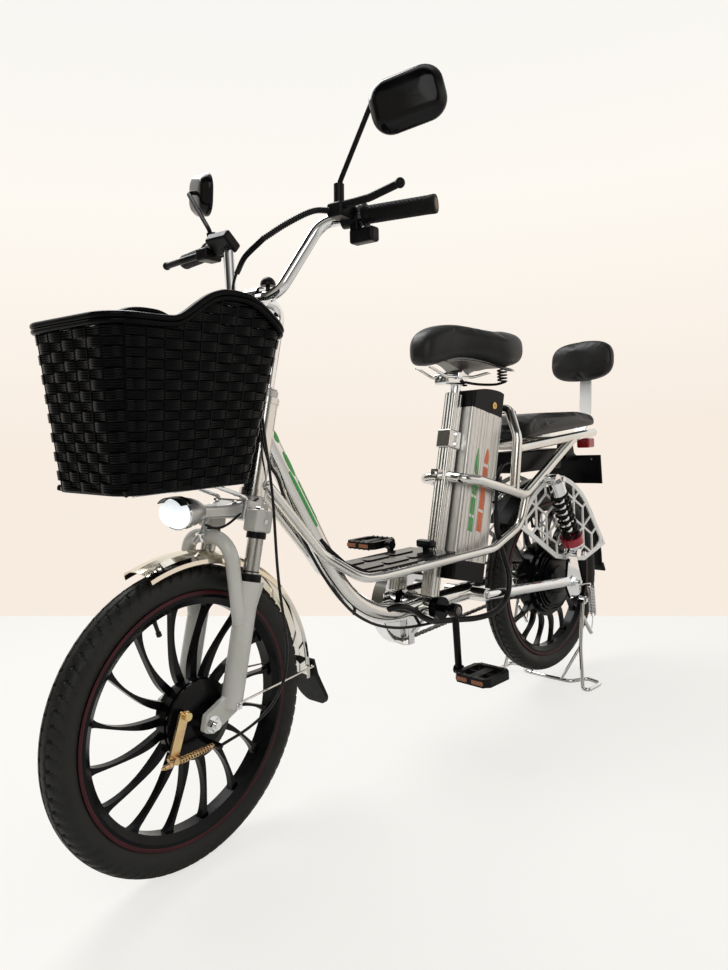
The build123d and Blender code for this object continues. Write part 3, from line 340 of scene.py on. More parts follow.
# Shape helpers: a shape gathers points and faces in millimetres, then becomes one piece.
def newShape():
    return {"points": [], "faces": []}


def addGrid(shape, rows, closeRows=False, closeColumns=False):
    start = len(shape["points"])
    wide = len(rows[0])
    for row in rows:
        shape["points"] += [tuple(p) for p in row]
    for r in range(len(rows) if closeRows else len(rows) - 1):
        for c in range(wide if closeColumns else wide - 1):
            a, b = r * wide + c, r * wide + (c + 1) % wide
            d, e = ((r + 1) % len(rows)) * wide + c, ((r + 1) % len(rows)) * wide + (c + 1) % wide
            shape["faces"].append((start + a, start + b, start + e, start + d))


def addSkin(shape, rows):
    addGrid(shape, rows, closeColumns=True)
    addCap(shape, rows[0][::-1])
    addCap(shape, rows[-1])


def addCap(shape, ring):
    start = len(shape["points"])
    shape["points"] += [tuple(p) for p in ring]
    shape["faces"].append(tuple(range(start, start + len(ring))))


def pathFrames(points, closed=False):
    spots = [Vector(p) for p in points]
    ways = []
    for i, spot in enumerate(spots):
        before = spots[i - 1] if (i > 0 or closed) else spot
        after = spots[(i + 1) % len(spots)] if (i < len(spots) - 1 or closed) else spot
        ways.append((after - before).normalized())
    side = ways[0].orthogonal().normalized()
    sides = []
    for way in ways:
        side = (side - way * side.dot(way)).normalized()
        sides.append(side.copy())
    return spots, ways, sides


def circle(count, shift=0.0):
    return [2 * math.pi * (i + shift) / count for i in range(count)]


def around(way, count):
    # directions square to the axis, evenly round it
    side = way.orthogonal().normalized()
    other = way.cross(side)
    return [side * math.cos(a) + other * math.sin(a) for a in circle(count)]


def addTube(shape, points, radius, sides=10, closed=False):
    spots, ways, across = pathFrames(points, closed)
    radii = radius if isinstance(radius, (list, tuple)) else [radius] * len(spots)
    rows = []
    for spot, way, side, size in zip(spots, ways, across, radii):
        other = way.cross(side)
        rows.append([spot + (side * math.cos(a) + other * math.sin(a)) * size for a in circle(sides)])
    addGrid(shape, rows, closeRows=closed, closeColumns=True)
    if not closed:
        addCap(shape, rows[0][::-1])
        addCap(shape, rows[-1])


def addTurned(shape, profile, centre, axis, steps=32):
    # profile: (distance along the axis, radius) pairs
    way = Vector(axis).normalized()
    rows = [[Vector(centre) + way * along + out * radius for along, radius in profile] for out in around(way, steps)]
    addGrid(shape, rows, closeRows=True)


def addBlock(shape, centre, size, axes=None):
    right, along, up = axes or (Vector((1, 0, 0)), Vector((0, 1, 0)), Vector((0, 0, 1)))
    x, y, z = (s / 2 for s in size)
    start = len(shape["points"])
    for a in (-x, x):
        for b in (-y, y):
            for c in (-z, z):
                shape["points"].append(tuple(Vector(centre) + right * a + along * b + up * c))
    for face in ((0, 1, 3, 2), (4, 6, 7, 5), (0, 4, 5, 1), (2, 3, 7, 6), (0, 2, 6, 4), (1, 5, 7, 3)):
        shape["faces"].append(tuple(start + i for i in face))


def addPrism(shape, outline, corner, right, up, depth):
    # an outline in the plane of right and up, pushed along their cross product
    right, up = Vector(right), Vector(up)
    out = right.cross(up).normalized() * depth
    low = [Vector(corner) + right * a + up * b for a, b in outline]
    high = [p + out for p in low]
    addGrid(shape, [low, high], closeColumns=True)
    addCap(shape, low[::-1])
    addCap(shape, high)


def addHexBolt(shape, centre, axis, radius, height):
    way = Vector(axis).normalized()
    low = [Vector(centre) + out * radius for out in around(way, 6)]
    high = [p + way * height * 0.8 for p in low]
    top = [Vector(centre) + way * height + (p - Vector(centre)) * 0.84 for p in low]
    addGrid(shape, [low, high, top], closeColumns=True)
    addCap(shape, top)


def helixPoints(low, high, radius, turns, perTurn=18):
    low, high = Vector(low), Vector(high)
    out = around((high - low).normalized(), perTurn)
    count = int(turns * perTurn)
    return [low.lerp(high, i / count) + out[i % perTurn] * radius for i in range(count + 1)]


def bend(a, b, c, d, t):
    # a smooth way from b to c, t from 0 to 1
    return 0.5 * ((2 * b) + (c - a) * t + (2 * a - 5 * b + 4 * c - d) * t * t + (3 * b - a - 3 * c + d) * t ** 3)


def arc(centre, radius, first, last, steps):
    angles = [math.radians(first + (last - first) * i / steps) for i in range(steps + 1)]
    return [(centre[0] + radius * math.cos(a), centre[1] + radius * math.sin(a)) for a in angles]


def roundedPlate(wide, tall, corner, steps=8):
    x, y = wide / 2 - corner, tall / 2 - corner
    outline = []
    for i, spot in enumerate(((x, y), (-x, y), (-x, -y), (x, -y))):
        outline += arc(spot, corner, 90 * i, 90 * i + 90, steps)
    return outline


def smoothLine(points, steps=8):
    # a rounded line through the given points
    spots = [Vector(p) for p in points]
    ends = [spots[0] * 2 - spots[1]] + spots + [spots[-1] * 2 - spots[-2]]
    line = []
    for i in range(1, len(ends) - 2):
        a, b, c, d = ends[i - 1:i + 3]
        for j in range(steps):
            t = j / steps
            line.append(bend(a, b, c, d, t))
    return line + [spots[-1]]


def finishPiece(shape, name, body, finish, sharp=38, replaced=()):
    steering = body in ("steering", "front_wheel")
    mesh = bpy.data.meshes.new(name)
    mesh.from_pydata([tuple(toScene(p, steering)) for p in shape["points"]], [], shape["faces"])
    tidy = bmesh.new()
    tidy.from_mesh(mesh)
    bmesh.ops.remove_doubles(tidy, verts=tidy.verts, dist=0.00001)
    bmesh.ops.dissolve_degenerate(tidy, edges=tidy.edges, dist=0.000005)
    bmesh.ops.recalc_face_normals(tidy, faces=tidy.faces)
    tidy.to_mesh(mesh)
    tidy.free()
    piece = bpy.data.objects.new(name, mesh)
    bpy.context.collection.objects.link(piece)
    mesh.polygons.foreach_set("use_smooth", [True] * len(mesh.polygons))
    mesh.set_sharp_from_angle(angle=math.radians(sharp))
    mesh.materials.append(surface(finish))
    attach(piece, body)
    if replaced:
        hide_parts(*replaced)
    return piece


# Finishes for the solids that stay
nodeFinishes = {
    "polishedAluminium": ["main_tube", "side_rails", "upper_loop", "rear_rack", "battery_hoop"],
    "ribbedAluminium": ["seat_tube"],
    "satinAluminium": ["battery_case"],
    "chromePlate": ["swingarm", "rear_axle", "shock_bodies", "saddle_frame", "front_axle", "handlebar",
                    "basket_support", "chainring", "chain_guard", "stand"],
    "goldChrome": ["front_fender"],
    "castSilver": ["fork_crown", "lamp_bracket", "lamp_body"],
    "zincGold": ["brake_arm"],
    "lampGlass": ["lamp_lens"],
    # fork lowers and crown caps take the white paint with painted shade
    "shadedWhitePaint": ["crown_caps", "fork_lowers"],
    "guardWhite": ["wheel_guards", "backrest_bracket"],
    "brushedSteel": ["stanchions"],
    "blackPaint": ["front_wheel", "rear_wheel", "hub_motor", "brake_plate", "cranks"],
    "redPaint": ["shock_collars"],
    "mouldedBlack": ["battery_cap", "battery_base", "controller_box", "bar_controls", "mirrors",
                     "left_pedal", "right_pedal", "rear_fender", "plate_holder"],
    "glossBlack": ["footboard"],
    "gripRubber": ["front_flap"],
    "redLens": ["tail_lamp"],
    "cableBlack": ["frame_cables", "steering_cables"],
}
for finish, names in nodeFinishes.items():
    for name in names:
        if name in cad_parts:
            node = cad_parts[name]
            node.data.materials.clear()
            node.data.materials.append(surface(finish))
            for polygon in node.data.polygons:
                polygon.material_index = 0
print("stage: finishes of the solids")


# Tyres: round section with blocks and grooves cut into the shoulders
tyrePlan = dict(blocks=76, groove=4.6, around=456)


def tyreProfile():
    # (distance to the side, radius, depth of the tread there)
    side = [(-16, 209, 0), (-18, 216, 0), (-22.5, 221, 0), (-26.5, 228, 0), (-28.3, 236, 0), (-28.0, 241, 0.3),
            (-26.8, 246, 1), (-24.4, 250.5, 1), (-21, 254.0, 1), (-17, 256.6, 1), (-12.6, 258.3, 1), (-9.6, 259.1, 1),
            (-7.4, 259.5, 1), (-4.8, 259.8, 1), (-3.0, 259.9, 1), (-1.0, 260, 1)]
    return side + [(-y, r, d) for y, r, d in side[::-1]]


def treadCut(y, angle):
    # how deep the tread is cut at this place, from 0 to 1
    turn = angle / (2 * math.pi) * tyrePlan["blocks"]
    reach = abs(y)
    slant = turn + (reach - 10) * 0.045 + (0.5 if y > 0 else 0)
    phase = slant % 1.0
    if reach > 10.5:
        return 1.0 if phase < 0.24 else 0.0
    if 6.0 < reach < 10.0:
        zig = abs((turn + (0.5 if y > 0 else 0)) % 1.0 - 0.5) * 2
        return 1.0 if abs(reach - 7.0 - 2.0 * zig) < 1.1 else 0.0
    if reach < 2.0:
        return 0.0
    return 1.0 if turn % 1.0 < 0.13 and reach > 3.4 else 0.0


def makeTyre(name, centre, body, node):
    shape = newShape()
    profile = tyreProfile()
    rows = []
    for i in range(tyrePlan["around"]):
        angle = 2 * math.pi * i / tyrePlan["around"]
        row = []
        for y, radius, depth in profile:
            r = radius - depth * treadCut(y, angle) * tyrePlan["groove"]
            row.append((centre[0] + r * math.cos(angle), centre[1] + y, centre[2] + r * math.sin(angle)))
        rows.append(row)
    addGrid(shape, rows, closeRows=True, closeColumns=True)
    finishPiece(shape, name, body, "tyreRubber", sharp=30, replaced=(node,))


def makeRimTrim(name, centre, body):
    # the maroon line painted along both edges of the rim
    shape = newShape()
    for side in (-1, 1):
        profile = [(side * 21.0, 209.8), (side * 21.35, 210.3), (side * 21.35, 215.5), (side * 21.0, 216.0)]
        addTurned(shape, profile, centre, (0, 1, 0), 120)
    finishPiece(shape, name, body, "rimStripe")
    valve = newShape()
    angle = math.radians(72)
    out = Vector((math.cos(angle), 0, math.sin(angle)))
    base = Vector(centre) + out * 193
    addTube(valve, [base, base - out * 14, base - out * 30, base - out * 33], [4.4, 3.6, 3.4, 2.6], 12)
    addTube(valve, [base - out * 27, base - out * 34], 4.6, 12)
    finishPiece(valve, name + "Valve", body, "cableBlack")


frontCentre = (frontAxle.x, 0, frontAxle.z)
rearCentre = (0, 0, rearAxleZ)
makeTyre("frontTyreRubber", frontCentre, "front_wheel", "front_tyre")
makeTyre("rearTyreRubber", rearCentre, "rear_wheel", "rear_tyre")
makeRimTrim("frontRimLine", frontCentre, "front_wheel")
makeRimTrim("rearRimLine", rearCentre, "rear_wheel")
print("stage: tyres")


# Basket: flat bands of cane woven in and out of upright stakes, with a wrapped rim
basketPlan = dict(low=(1072, 1324, 99, 657), top=(998, 1342, 113, 905), corner=42, stakes=32, rowHeight=14.7,
                  bandHeight=15.0, swing=2.4)
rimHeights = [(998, 915), (1014, 918), (1034, 930), (1062, 948), (1088, 959), (1112, 962), (1146, 961), (1172, 953),
              (1196, 938), (1216, 924), (1234, 915), (1260, 912), (1342, 912)]
rimCurve = [(p.x, p.y) for p in smoothLine([(x, z, 0) for x, z in rimHeights], 6)]


def rimZ(x):
    if x <= rimCurve[0][0]:
        return rimCurve[0][1]
    for (xa, za), (xb, zb) in zip(rimCurve, rimCurve[1:]):
        if x <= xb:
            return za + (zb - za) * (x - xa) / (xb - xa)
    return rimCurve[-1][1]


def basketRing(z):
    (xa, xb, ha, za), (xc, xd, hb, zb) = basketPlan["low"], basketPlan["top"]
    t = (z - za) / (zb - za)
    return xa + (xc - xa) * t, xb + (xd - xb) * t, ha + (hb - ha) * t


def basketPoint(s, z, out=0.0):
    # s runs once round from 0 to 1, starting at the middle of the rear face
    xLow, xHigh, half = basketRing(z)
    r = basketPlan["corner"]
    runs = [half - r, math.pi / 2 * r, xHigh - xLow - 2 * r, math.pi / 2 * r, 2 * (half - r), math.pi / 2 * r,
            xHigh - xLow - 2 * r, math.pi / 2 * r, half - r]
    travel = (s % 1.0) * sum(runs)
    k = 0
    while travel > runs[k] and k < 8:
        travel -= runs[k]
        k += 1
    if k == 0:
        p, n = Vector((xLow, travel, 0)), Vector((-1, 0, 0))
    elif k == 2:
        p, n = Vector((xLow + r + travel, half, 0)), Vector((0, 1, 0))
    elif k == 4:
        p, n = Vector((xHigh, half - r - travel, 0)), Vector((1, 0, 0))
    elif k == 6:
        p, n = Vector((xHigh - r - travel, -half, 0)), Vector((0, -1, 0))
    elif k == 8:
        p, n = Vector((xLow, -half + r + travel, 0)), Vector((-1, 0, 0))
    else:
        turn = travel / r
        centre, start = {1: ((xLow + r, half - r), math.pi), 3: ((xHigh - r, half - r), math.pi / 2),
                         5: ((xHigh - r, r - half), 0.0), 7: ((xLow + r, r - half), -math.pi / 2)}[k]
        angle = start - turn
        n = Vector((math.cos(angle), math.sin(angle), 0))
        p = Vector((centre[0], centre[1], 0)) + n * r
    return Vector((p.x, p.y, z)) + n * out


def onRim(s, start, steps, height=0.0, out=0.0):
    # the rim's height hangs on the place, and the place on the height, so it's found step by step
    spot = start
    for k in range(steps):
        spot = basketPoint(s, rimZ(spot.x) + height, out)
    return spot


def makeWeave():
    shape = newShape()
    around = basketPlan["stakes"] * 8
    band = basketPlan["bandHeight"]
    outline = [(-0.52, -0.9), (-0.49, 0.6)]
    for rib in (-0.36, -0.12, 0.12, 0.36):
        outline += [(rib - 0.07, 0.75), (rib, 1.45), (rib + 0.07, 0.75)]
    outline += [(0.49, 0.6), (0.52, -0.9)]
    row = 0
    z = basketPlan["low"][3] + 11
    while z < 968:
        strips = []
        strip = []
        for i in range(around + 1):
            s = i / around
            middle = basketPoint(s, z)
            ceiling = rimZ(middle.x) - 3
            fits = z - band * 0.42 < ceiling
            if fits:
                weave = math.cos(math.pi * basketPlan["stakes"] * s + math.pi * row) * basketPlan["swing"]
                strip.append([basketPoint(s, min(z + band * up, ceiling + up), weave + out) for up, out in outline])
            if (not fits or i == around) and strip:
                if len(strip) > 3:
                    strips.append(strip)
                strip = []
        for strip in strips:
            addGrid(shape, strip, closeColumns=True)
            if len(strip) < around:
                addCap(shape, strip[0])
                addCap(shape, strip[-1][::-1])
        z += basketPlan["rowHeight"]
        row += 1
    bottom = basketPlan["low"][3] + 2
    for i in range(basketPlan["stakes"]):
        s = (i + 0.5) / basketPlan["stakes"]
        top = onRim(s, basketPoint(s, bottom), 3)
        addTube(shape, [basketPoint(s, bottom), basketPoint(s, (bottom - 2 + top.z) / 2), top], 2.2, 6)
    finishPiece(shape, "basketWeave", "steering", "wovenCane", sharp=60, replaced=("basket",))


def makeBasketRim():
    rim = newShape()
    for height, out, radius in ((-3, 3.2, 5.2), (-11, 3.6, 4.6), (-3, -3.4, 4.6)):
        line = [onRim(i / 160, basketPoint(i / 160, basketPlan["top"][3]), 2, height, out) for i in range(160)]
        addTube(rim, line, radius, 10, closed=True)
    finishPiece(rim, "basketRim", "steering", "wovenCane")


def makeBasketFloor():
    floor = newShape()
    z = basketPlan["low"][3] + 5
    xLow, xHigh, half = basketRing(z)
    for i in range(12):
        y = -half + 12 + i * (2 * half - 24) / 11
        line = [(xLow + 6 + (xHigh - xLow - 12) * j / 24, y, z + 1.6 * math.cos(math.pi * (j + i))) for j in range(25)]
        addTube(floor, line, 5.0, 6)
    for j in range(9):
        x = xLow + 14 + j * (xHigh - xLow - 28) / 8
        addTube(floor, [(x, -half + 8, z), (x, half - 8, z)], 2.6, 6)
    addTube(floor, [basketPoint(i / 80, z, -3) for i in range(80)], 5.5, 8, closed=True)
    finishPiece(floor, "basketFloor", "steering", "wovenCane")


makeWeave()
makeBasketRim()
makeBasketFloor()
print("stage: basket")


# Soft seats: closed crowned forms, blown up gently by a cloth simulation, then rounded by one subdivision
cushionPlan = dict(voxel=5.0, pressure=4.0, frames=20, cap=5)


def puffUp(piece, held):
    # held says which points are fixed to the board, or is None; no point moves further than the cap
    scene = bpy.context.scene
    mesh = piece.data
    bpy.context.view_layer.objects.active = piece
    piece.select_set(True)
    mesh.remesh_voxel_size = cushionPlan["voxel"] * mm
    mesh.remesh_voxel_adaptivity = 0.0
    bpy.ops.object.voxel_remesh()
    mesh = piece.data
    start = [v.co.copy() for v in mesh.vertices]
    cloth = piece.modifiers.new("cover", "CLOTH")
    cloth.settings.quality = 5
    cloth.settings.mass = 0.3
    cloth.settings.tension_stiffness = 12
    cloth.settings.compression_stiffness = 12
    cloth.settings.bending_stiffness = 0.8
    cloth.settings.use_pressure = True
    cloth.settings.uniform_pressure_force = cushionPlan["pressure"]
    cloth.settings.effector_weights.gravity = 0.0
    if held is not None:
        group = piece.vertex_groups.new(name="board")
        group.add([v.index for v in mesh.vertices if held(v.co)], 1.0, "REPLACE")
        cloth.settings.vertex_group_mass = "board"
    for step in range(1, cushionPlan["frames"] + 1):
        scene.frame_set(step)
    graph = bpy.context.evaluated_depsgraph_get()
    blown = piece.evaluated_get(graph).to_mesh()
    ends = [v.co.copy() for v in blown.vertices]
    piece.evaluated_get(graph).to_mesh_clear()
    piece.modifiers.remove(cloth)
    scene.frame_set(1)
    for vertex, a, b in zip(mesh.vertices, start, ends):
        move = b - a
        if move.length > cushionPlan["cap"] * mm:
            move *= cushionPlan["cap"] * mm / move.length
        vertex.co = a + move
    mesh.update()
    mesh.polygons.foreach_set("use_smooth", [True] * len(mesh.polygons))
    piece.select_set(False)


def makeCover(name, node, rows, held=None):
    shape = newShape()
    addSkin(shape, rows)
    piece = finishPiece(shape, name, "frame", "blackVinyl", sharp=75)
    puffUp(piece, held)
    rounder = piece.modifiers.new("rounder", "SUBSURF")
    rounder.levels = rounder.render_levels = 1
    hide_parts(node)


def ringOfSuper(count, power):
    ring = []
    for a in circle(count, 0.5):
        c, s = math.cos(a), math.sin(a)
        ring.append((math.copysign(abs(c) ** (2 / power), c), math.copysign(abs(s) ** (2 / power), s)))
    return ring


def mixRows(sections, perGap):
    # smooth stations between the given ones
    made = []
    for i in range(len(sections) - 1):
        a, b, c, d = (sections[max(0, min(len(sections) - 1, i + k))] for k in (-1, 0, 1, 2))
        for j in range(perGap):
            made.append([bend(p, q, r, s, j / perGap) for p, q, r, s in zip(a, b, c, d)])
    return made + [list(sections[-1])]


# sections: x, half width, lowest, highest, how far the skirt's underside is hollowed
saddlePlan = dict(power=2.7, inset=2.0, sections=[
    (511, 12, 893, 916, 0), (507, 24, 881, 932, 0), (495, 36, 871, 950, 3), (470, 45, 873, 963, 8),
    (436, 53, 880, 970, 12), (396, 61, 886, 973, 16), (350, 78, 881, 969, 18), (312, 94, 871, 965, 22),
    (276, 104, 860, 963, 24), (232, 101, 860, 966, 20), (210, 94, 868, 966, 10), (198, 82, 884, 960, 2),
    (193, 60, 898, 944, 0)])
rearPadPlan = dict(power=5.5, inset=2.5, sections=[
    (197, 84, 698, 722, 0), (195, 91, 693, 734, 0), (184, 94, 691.5, 745, 0), (150, 95, 693.5, 752, 0),
    (100, 95, 697, 757, 0), (0, 95, 704, 758, 0), (-100, 95, 711.5, 758, 0), (-132, 94.5, 714, 756, 0),
    (-146, 92, 716, 746, 0), (-151, 84, 722, 738, 0)])
# stations: (ahead of the bracket, in from the edge)
backrestPlan = dict(middle=(-272, 0, 912), lean=0.08, half=(102, 61),
                    stations=((3, 14), (5, 8), (10, 3.5), (17, 2), (24, 2), (31, 4), (35.5, 9), (38, 17)))


def loafRows(plan, count=40):
    ring = ringOfSuper(count, plan["power"])
    rows = []
    for x, half, low, high, hollow in mixRows(plan["sections"], 3):
        middle, tall = (low + high) / 2, (high - low) / 2
        row = []
        for across, up in ring:
            z = middle + up * max(2.0, tall - plan["inset"])
            if up < 0:
                z += hollow * (1 - across * across) * min(1.0, -up)
            row.append((x, across * max(3.0, half - plan["inset"]), z))
        rows.append(row)
    return rows


def makeSeats():
    makeCover("saddleCover", "saddle", loafRows(saddlePlan), lambda co: co.z < 0.872)
    base = newShape()
    rim = []
    for x, half, low, high, hollow in mixRows(saddlePlan["sections"][4:-3], 3):
        rim.append([(x, (half - 20) * t, low + 6 + (hollow + 1) * (1 - t * t) - (1 - abs(t)) * 3)
                    for t in (-1, -0.8, -0.5, -0.2, 0.2, 0.5, 0.8, 1)])
    lower = [[(x, y, z - 3.2) for x, y, z in row] for row in rim]
    addGrid(base, rim)
    addGrid(base, [row[::-1] for row in lower])
    finishPiece(base, "saddleBase", "frame", "palePlastic", sharp=50)
    makeCover("rearSeatCover", "rear_pad", loafRows(rearPadPlan, 48),
              lambda co: co.z < 0.705 + (0.192 - (co.x - originX)) * 0.07)
    rows = []
    centre, right = Vector(backrestPlan["middle"]), Vector((0, 1, 0))
    ahead = Vector((1, 0, backrestPlan["lean"])).normalized()
    up = ahead.cross(right)
    for depth, inset in backrestPlan["stations"]:
        row = []
        for a in circle(56, 0.5):
            c, s = math.cos(a), math.sin(a)
            y = math.copysign(abs(c) ** (2 / 3.1), c) * (backrestPlan["half"][0] - inset)
            z = math.copysign(abs(s) ** (2 / 2.9), s) * (backrestPlan["half"][1] - inset)
            row.append(centre + ahead * depth + right * y + up * z)
        rows.append(row)
    makeCover("backrestCover", "backrest_pad", rows)


makeSeats()
print("stage: seats")


# Shock absorbers: wire springs between the cups
shockPlan = dict(low=(0, 102, 372), high=(98, 102, 584), radius=21.5, wire=3.6, turns=7.2)


def makeSprings():
    low, high = Vector(shockPlan["low"]), Vector(shockPlan["high"])
    way = (high - low).normalized()
    shape = newShape()
    for side in (-1, 1):
        a, b = low + way * 58, high - way * 48
        a, b = Vector((a.x, a.y * side, a.z)), Vector((b.x, b.y * side, b.z))
        line = helixPoints(a, b, shockPlan["radius"], shockPlan["turns"], 22)
        addTube(shape, line, shockPlan["wire"], 10)
        for spot, tilt in ((a, 1), (b, -1)):
            closing = helixPoints(spot, spot + way * tilt * 3.5, shockPlan["radius"], 1.0, 22)
            addTube(shape, closing, shockPlan["wire"] * 0.9, 10)
    finishPiece(shape, "shockSprings", "frame", "blackPaint", replaced=("shock_springs",))


# Chain: alternating plates and rollers along the line round both sprockets
chainPlan = dict(pitch=12.7, front=(525.0, 320.0, 88.9), rear=(0.0, 292.0, 38.9), y=-54.0)


def chainLine():
    (xf, zf, rf), (xr, zr, rr) = chainPlan["front"], chainPlan["rear"]
    far = math.hypot(xf - xr, zf - zr)
    lean = math.atan2(zf - zr, xf - xr)
    opening = math.asin((rf - rr) / far)
    upper, lower = lean + math.pi / 2 + opening, lean - math.pi / 2 - opening
    line = []
    for i in range(60):
        a = upper - (upper - lower) * i / 60
        line.append((xf + rf * math.cos(a), zf + rf * math.sin(a)))
    line += [(xf + rf * math.cos(lower), zf + rf * math.sin(lower))]
    for i in range(31):
        a = lower - (2 * math.pi - (upper - lower)) * i / 30
        line.append((xr + rr * math.cos(a), zr + rr * math.sin(a)))
    return line + [line[0]]


def makeChain():
    line = chainLine()
    lengths = [math.dist(a, b) for a, b in zip(line, line[1:])]
    count = round(sum(lengths) / chainPlan["pitch"] / 2) * 2
    step = sum(lengths) / count
    pins, walked, k = [], 0.0, 0
    for i in range(count):
        while walked + lengths[k] < i * step:
            walked += lengths[k]
            k += 1
        t = (i * step - walked) / lengths[k]
        pins.append((line[k][0] + (line[k + 1][0] - line[k][0]) * t, line[k][1] + (line[k + 1][1] - line[k][1]) * t))
    shape = newShape()
    for i, (x, z) in enumerate(pins):
        nx, nz = pins[(i + 1) % count]
        way = Vector((nx - x, 0, nz - z)).normalized()
        up = Vector((-way.z, 0, way.x))
        outer = i % 2
        outline = arc((0, 0), 4.1, 90, 270, 6) + [(step / 2, -3.0)]
        outline += arc((step, 0), 4.1, -90, 90, 6) + [(step / 2, 3.0)]
        for y in ((-4.0, 3.0) if outer else (-2.7, 1.7)):
            addPrism(shape, outline, (x, chainPlan["y"] + y + (1.0 if up.cross(way).y < 0 else 0), z), way, up, 1.0)
        addTube(shape, [(x, chainPlan["y"] - 1.7, z), (x, chainPlan["y"] + 1.7, z)], 3.9, 10)
        addTube(shape, [(x, chainPlan["y"] - 4.3, z), (x, chainPlan["y"] + 4.3, z)], 1.7, 6)
    finishPiece(shape, "chainLinks", "frame", "oiledSteel", replaced=("chain",))


makeSprings()
makeChain()
print("stage: springs and chain")


# Fork, brake and wheel details. seals: how far up the leg, inner and outer radius, height
forkPlan = dict(ahead=34, aside=60, seals=((-77, 13.6, 17.4, 11), (-152, 13.6, 19.6, 13), (-136, 13.9, 15.2, 2.2)),
                spring=((1152, 62, 221), (1262, 62, 223)), springWire=1.2, hubBolts=6)


def addRing(shape, centre, axis, inner, outer, tall, steps=28):
    profile = [(0, inner), (0, outer - 0.7), (0.7, outer), (tall - 0.7, outer), (tall, outer - 0.7), (tall, inner)]
    addTurned(shape, profile, centre, axis, steps)


def makeForkDetails():
    seals, bolts = newShape(), newShape()
    ahead, aside = forkPlan["ahead"], forkPlan["aside"]
    for side in (-1, 1):
        for up, inner, outer, tall in forkPlan["seals"]:
            addRing(seals, onFork(ahead, side * aside, up), steerUp, inner, outer, tall)
        addHexBolt(bolts, onFork(ahead, side * aside, -26), steerUp, 9, 5)
        addHexBolt(bolts, onFork(ahead, side * 77, -46), (0, side, 0), 5, 3.4)
        addRing(bolts, onFork(ahead, side * 78.6, -362), (0, side, 0), 0.1, 6.2, 2.4, 20)
        addHexBolt(bolts, onFork(ahead, side * 81, -362), (0, side, 0), 4.2, 2.6)
        addHexBolt(bolts, onFork(64, side * 24, -18), steerUp, 4.6, 4)
    addRing(bolts, onFork(0, 0, 203), steerUp, 11, 19, 3)
    finishPiece(seals, "forkSeals", "steering", "mouldedBlack")
    finishPiece(bolts, "forkBolts", "steering", "chromePlate", sharp=25)


def makeBrakeSpring():
    spring, rods = newShape(), newShape()
    low, high = (Vector(spot) for spot in forkPlan["spring"])
    addTube(rods, [low, high], 2.1, 12)
    for k in range(30):
        start = 0.78 + k * 0.007
        addTube(rods, [low.lerp(high, start), low.lerp(high, start + 0.003)], 2.5, 12)
    addTube(spring, helixPoints(low.lerp(high, 0.08), low.lerp(high, 0.68), 5.0, 12, 16), forkPlan["springWire"], 8)
    addHexBolt(rods, high - Vector((18, 0, 0)), (1, 0, 0), 5.6, 6)
    addTube(rods, [high - Vector((12, 0, 0)), high - Vector((5, 0, 0))], 4.2, 14)
    finishPiece(spring, "brakeSpring", "steering", "zincGold")
    finishPiece(rods, "brakeAdjuster", "steering", "zincGold", sharp=25)


def makeHubBolts(name, centre, body, radius, y):
    shape = newShape()
    for i in range(forkPlan["hubBolts"]):
        a = math.radians(20 + 60 * i)
        addHexBolt(shape, (centre[0] + radius * math.cos(a), y, centre[2] + radius * math.sin(a)), (0, 1, 0), 3.6, 2.6)
    finishPiece(shape, name, body, "oiledSteel", sharp=25)


makeForkDetails()
makeBrakeSpring()
makeHubBolts("frontHubBolts", frontCentre, "front_wheel", 65.5, 26)
makeHubBolts("rearHubBolts", rearCentre, "rear_wheel", 92, 30)
print("stage: fork and brake details")


# Lamp: a bright bezel, a small peak above the glass and the clamp below
lampPlan = dict(wide=38.6, tall=26.8, bezel=2.2)


def makeLampTrim():
    centre = onFork(149, 0, -50)
    trim = newShape()
    wide, tall = lampPlan["wide"], lampPlan["tall"]
    ring = [centre + Vector((16.5, wide * math.cos(a), tall * math.sin(a))) for a in circle(56)]
    addTube(trim, ring, lampPlan["bezel"], 10, closed=True)
    clamp = onFork(107, 0, -86)
    addTurned(trim, [(0, 5.2), (0, 8.4), (14, 8.4), (14, 5.2)], clamp - Vector((2, 0, 8)), (0.2, 0, 1), 24)
    addHexBolt(trim, clamp + Vector((0, 8, 0)), (0, 1, 0), 5, 4)
    addHexBolt(trim, onFork(92, 17, -72), (0.2, 0.2, 1), 5, 4)
    finishPiece(trim, "lampTrim", "steering", "chromePlate")
    peak = newShape()
    rows = []
    for ahead, grow in ((8, 1.2), (20, 1.6), (31, 0.6)):
        rows.append([centre + Vector((ahead, p[0], p[1] * (tall + grow + 1.0) / (wide + grow)))
                     for p in arc((0, 0), wide + grow, 38, 142, 18)])
    inner = [[p - Vector((0, 0, 1.6)) for p in row] for row in rows]
    for row, under in zip(rows, inner):
        row += under[::-1]
    addSkin(peak, rows)
    finishPiece(peak, "lampPeak", "steering", "glossBlack")


makeLampTrim()
print("stage: lamp")


# Bars: diamond-cut grips with tan end plugs, a ribbed cable sleeve, and glass in the mirrors
barPlan = dict(gripFrom=200.5, gripTo=325.5, gripRadius=15.4, cut=0.75, sleeveRadius=4.9, sleeveRib=0.8)


def gripSpot(y):
    t = (y - 122) / 200
    return Vector((913 - 56 * t, y, 1108.6 + 5.4 * t))


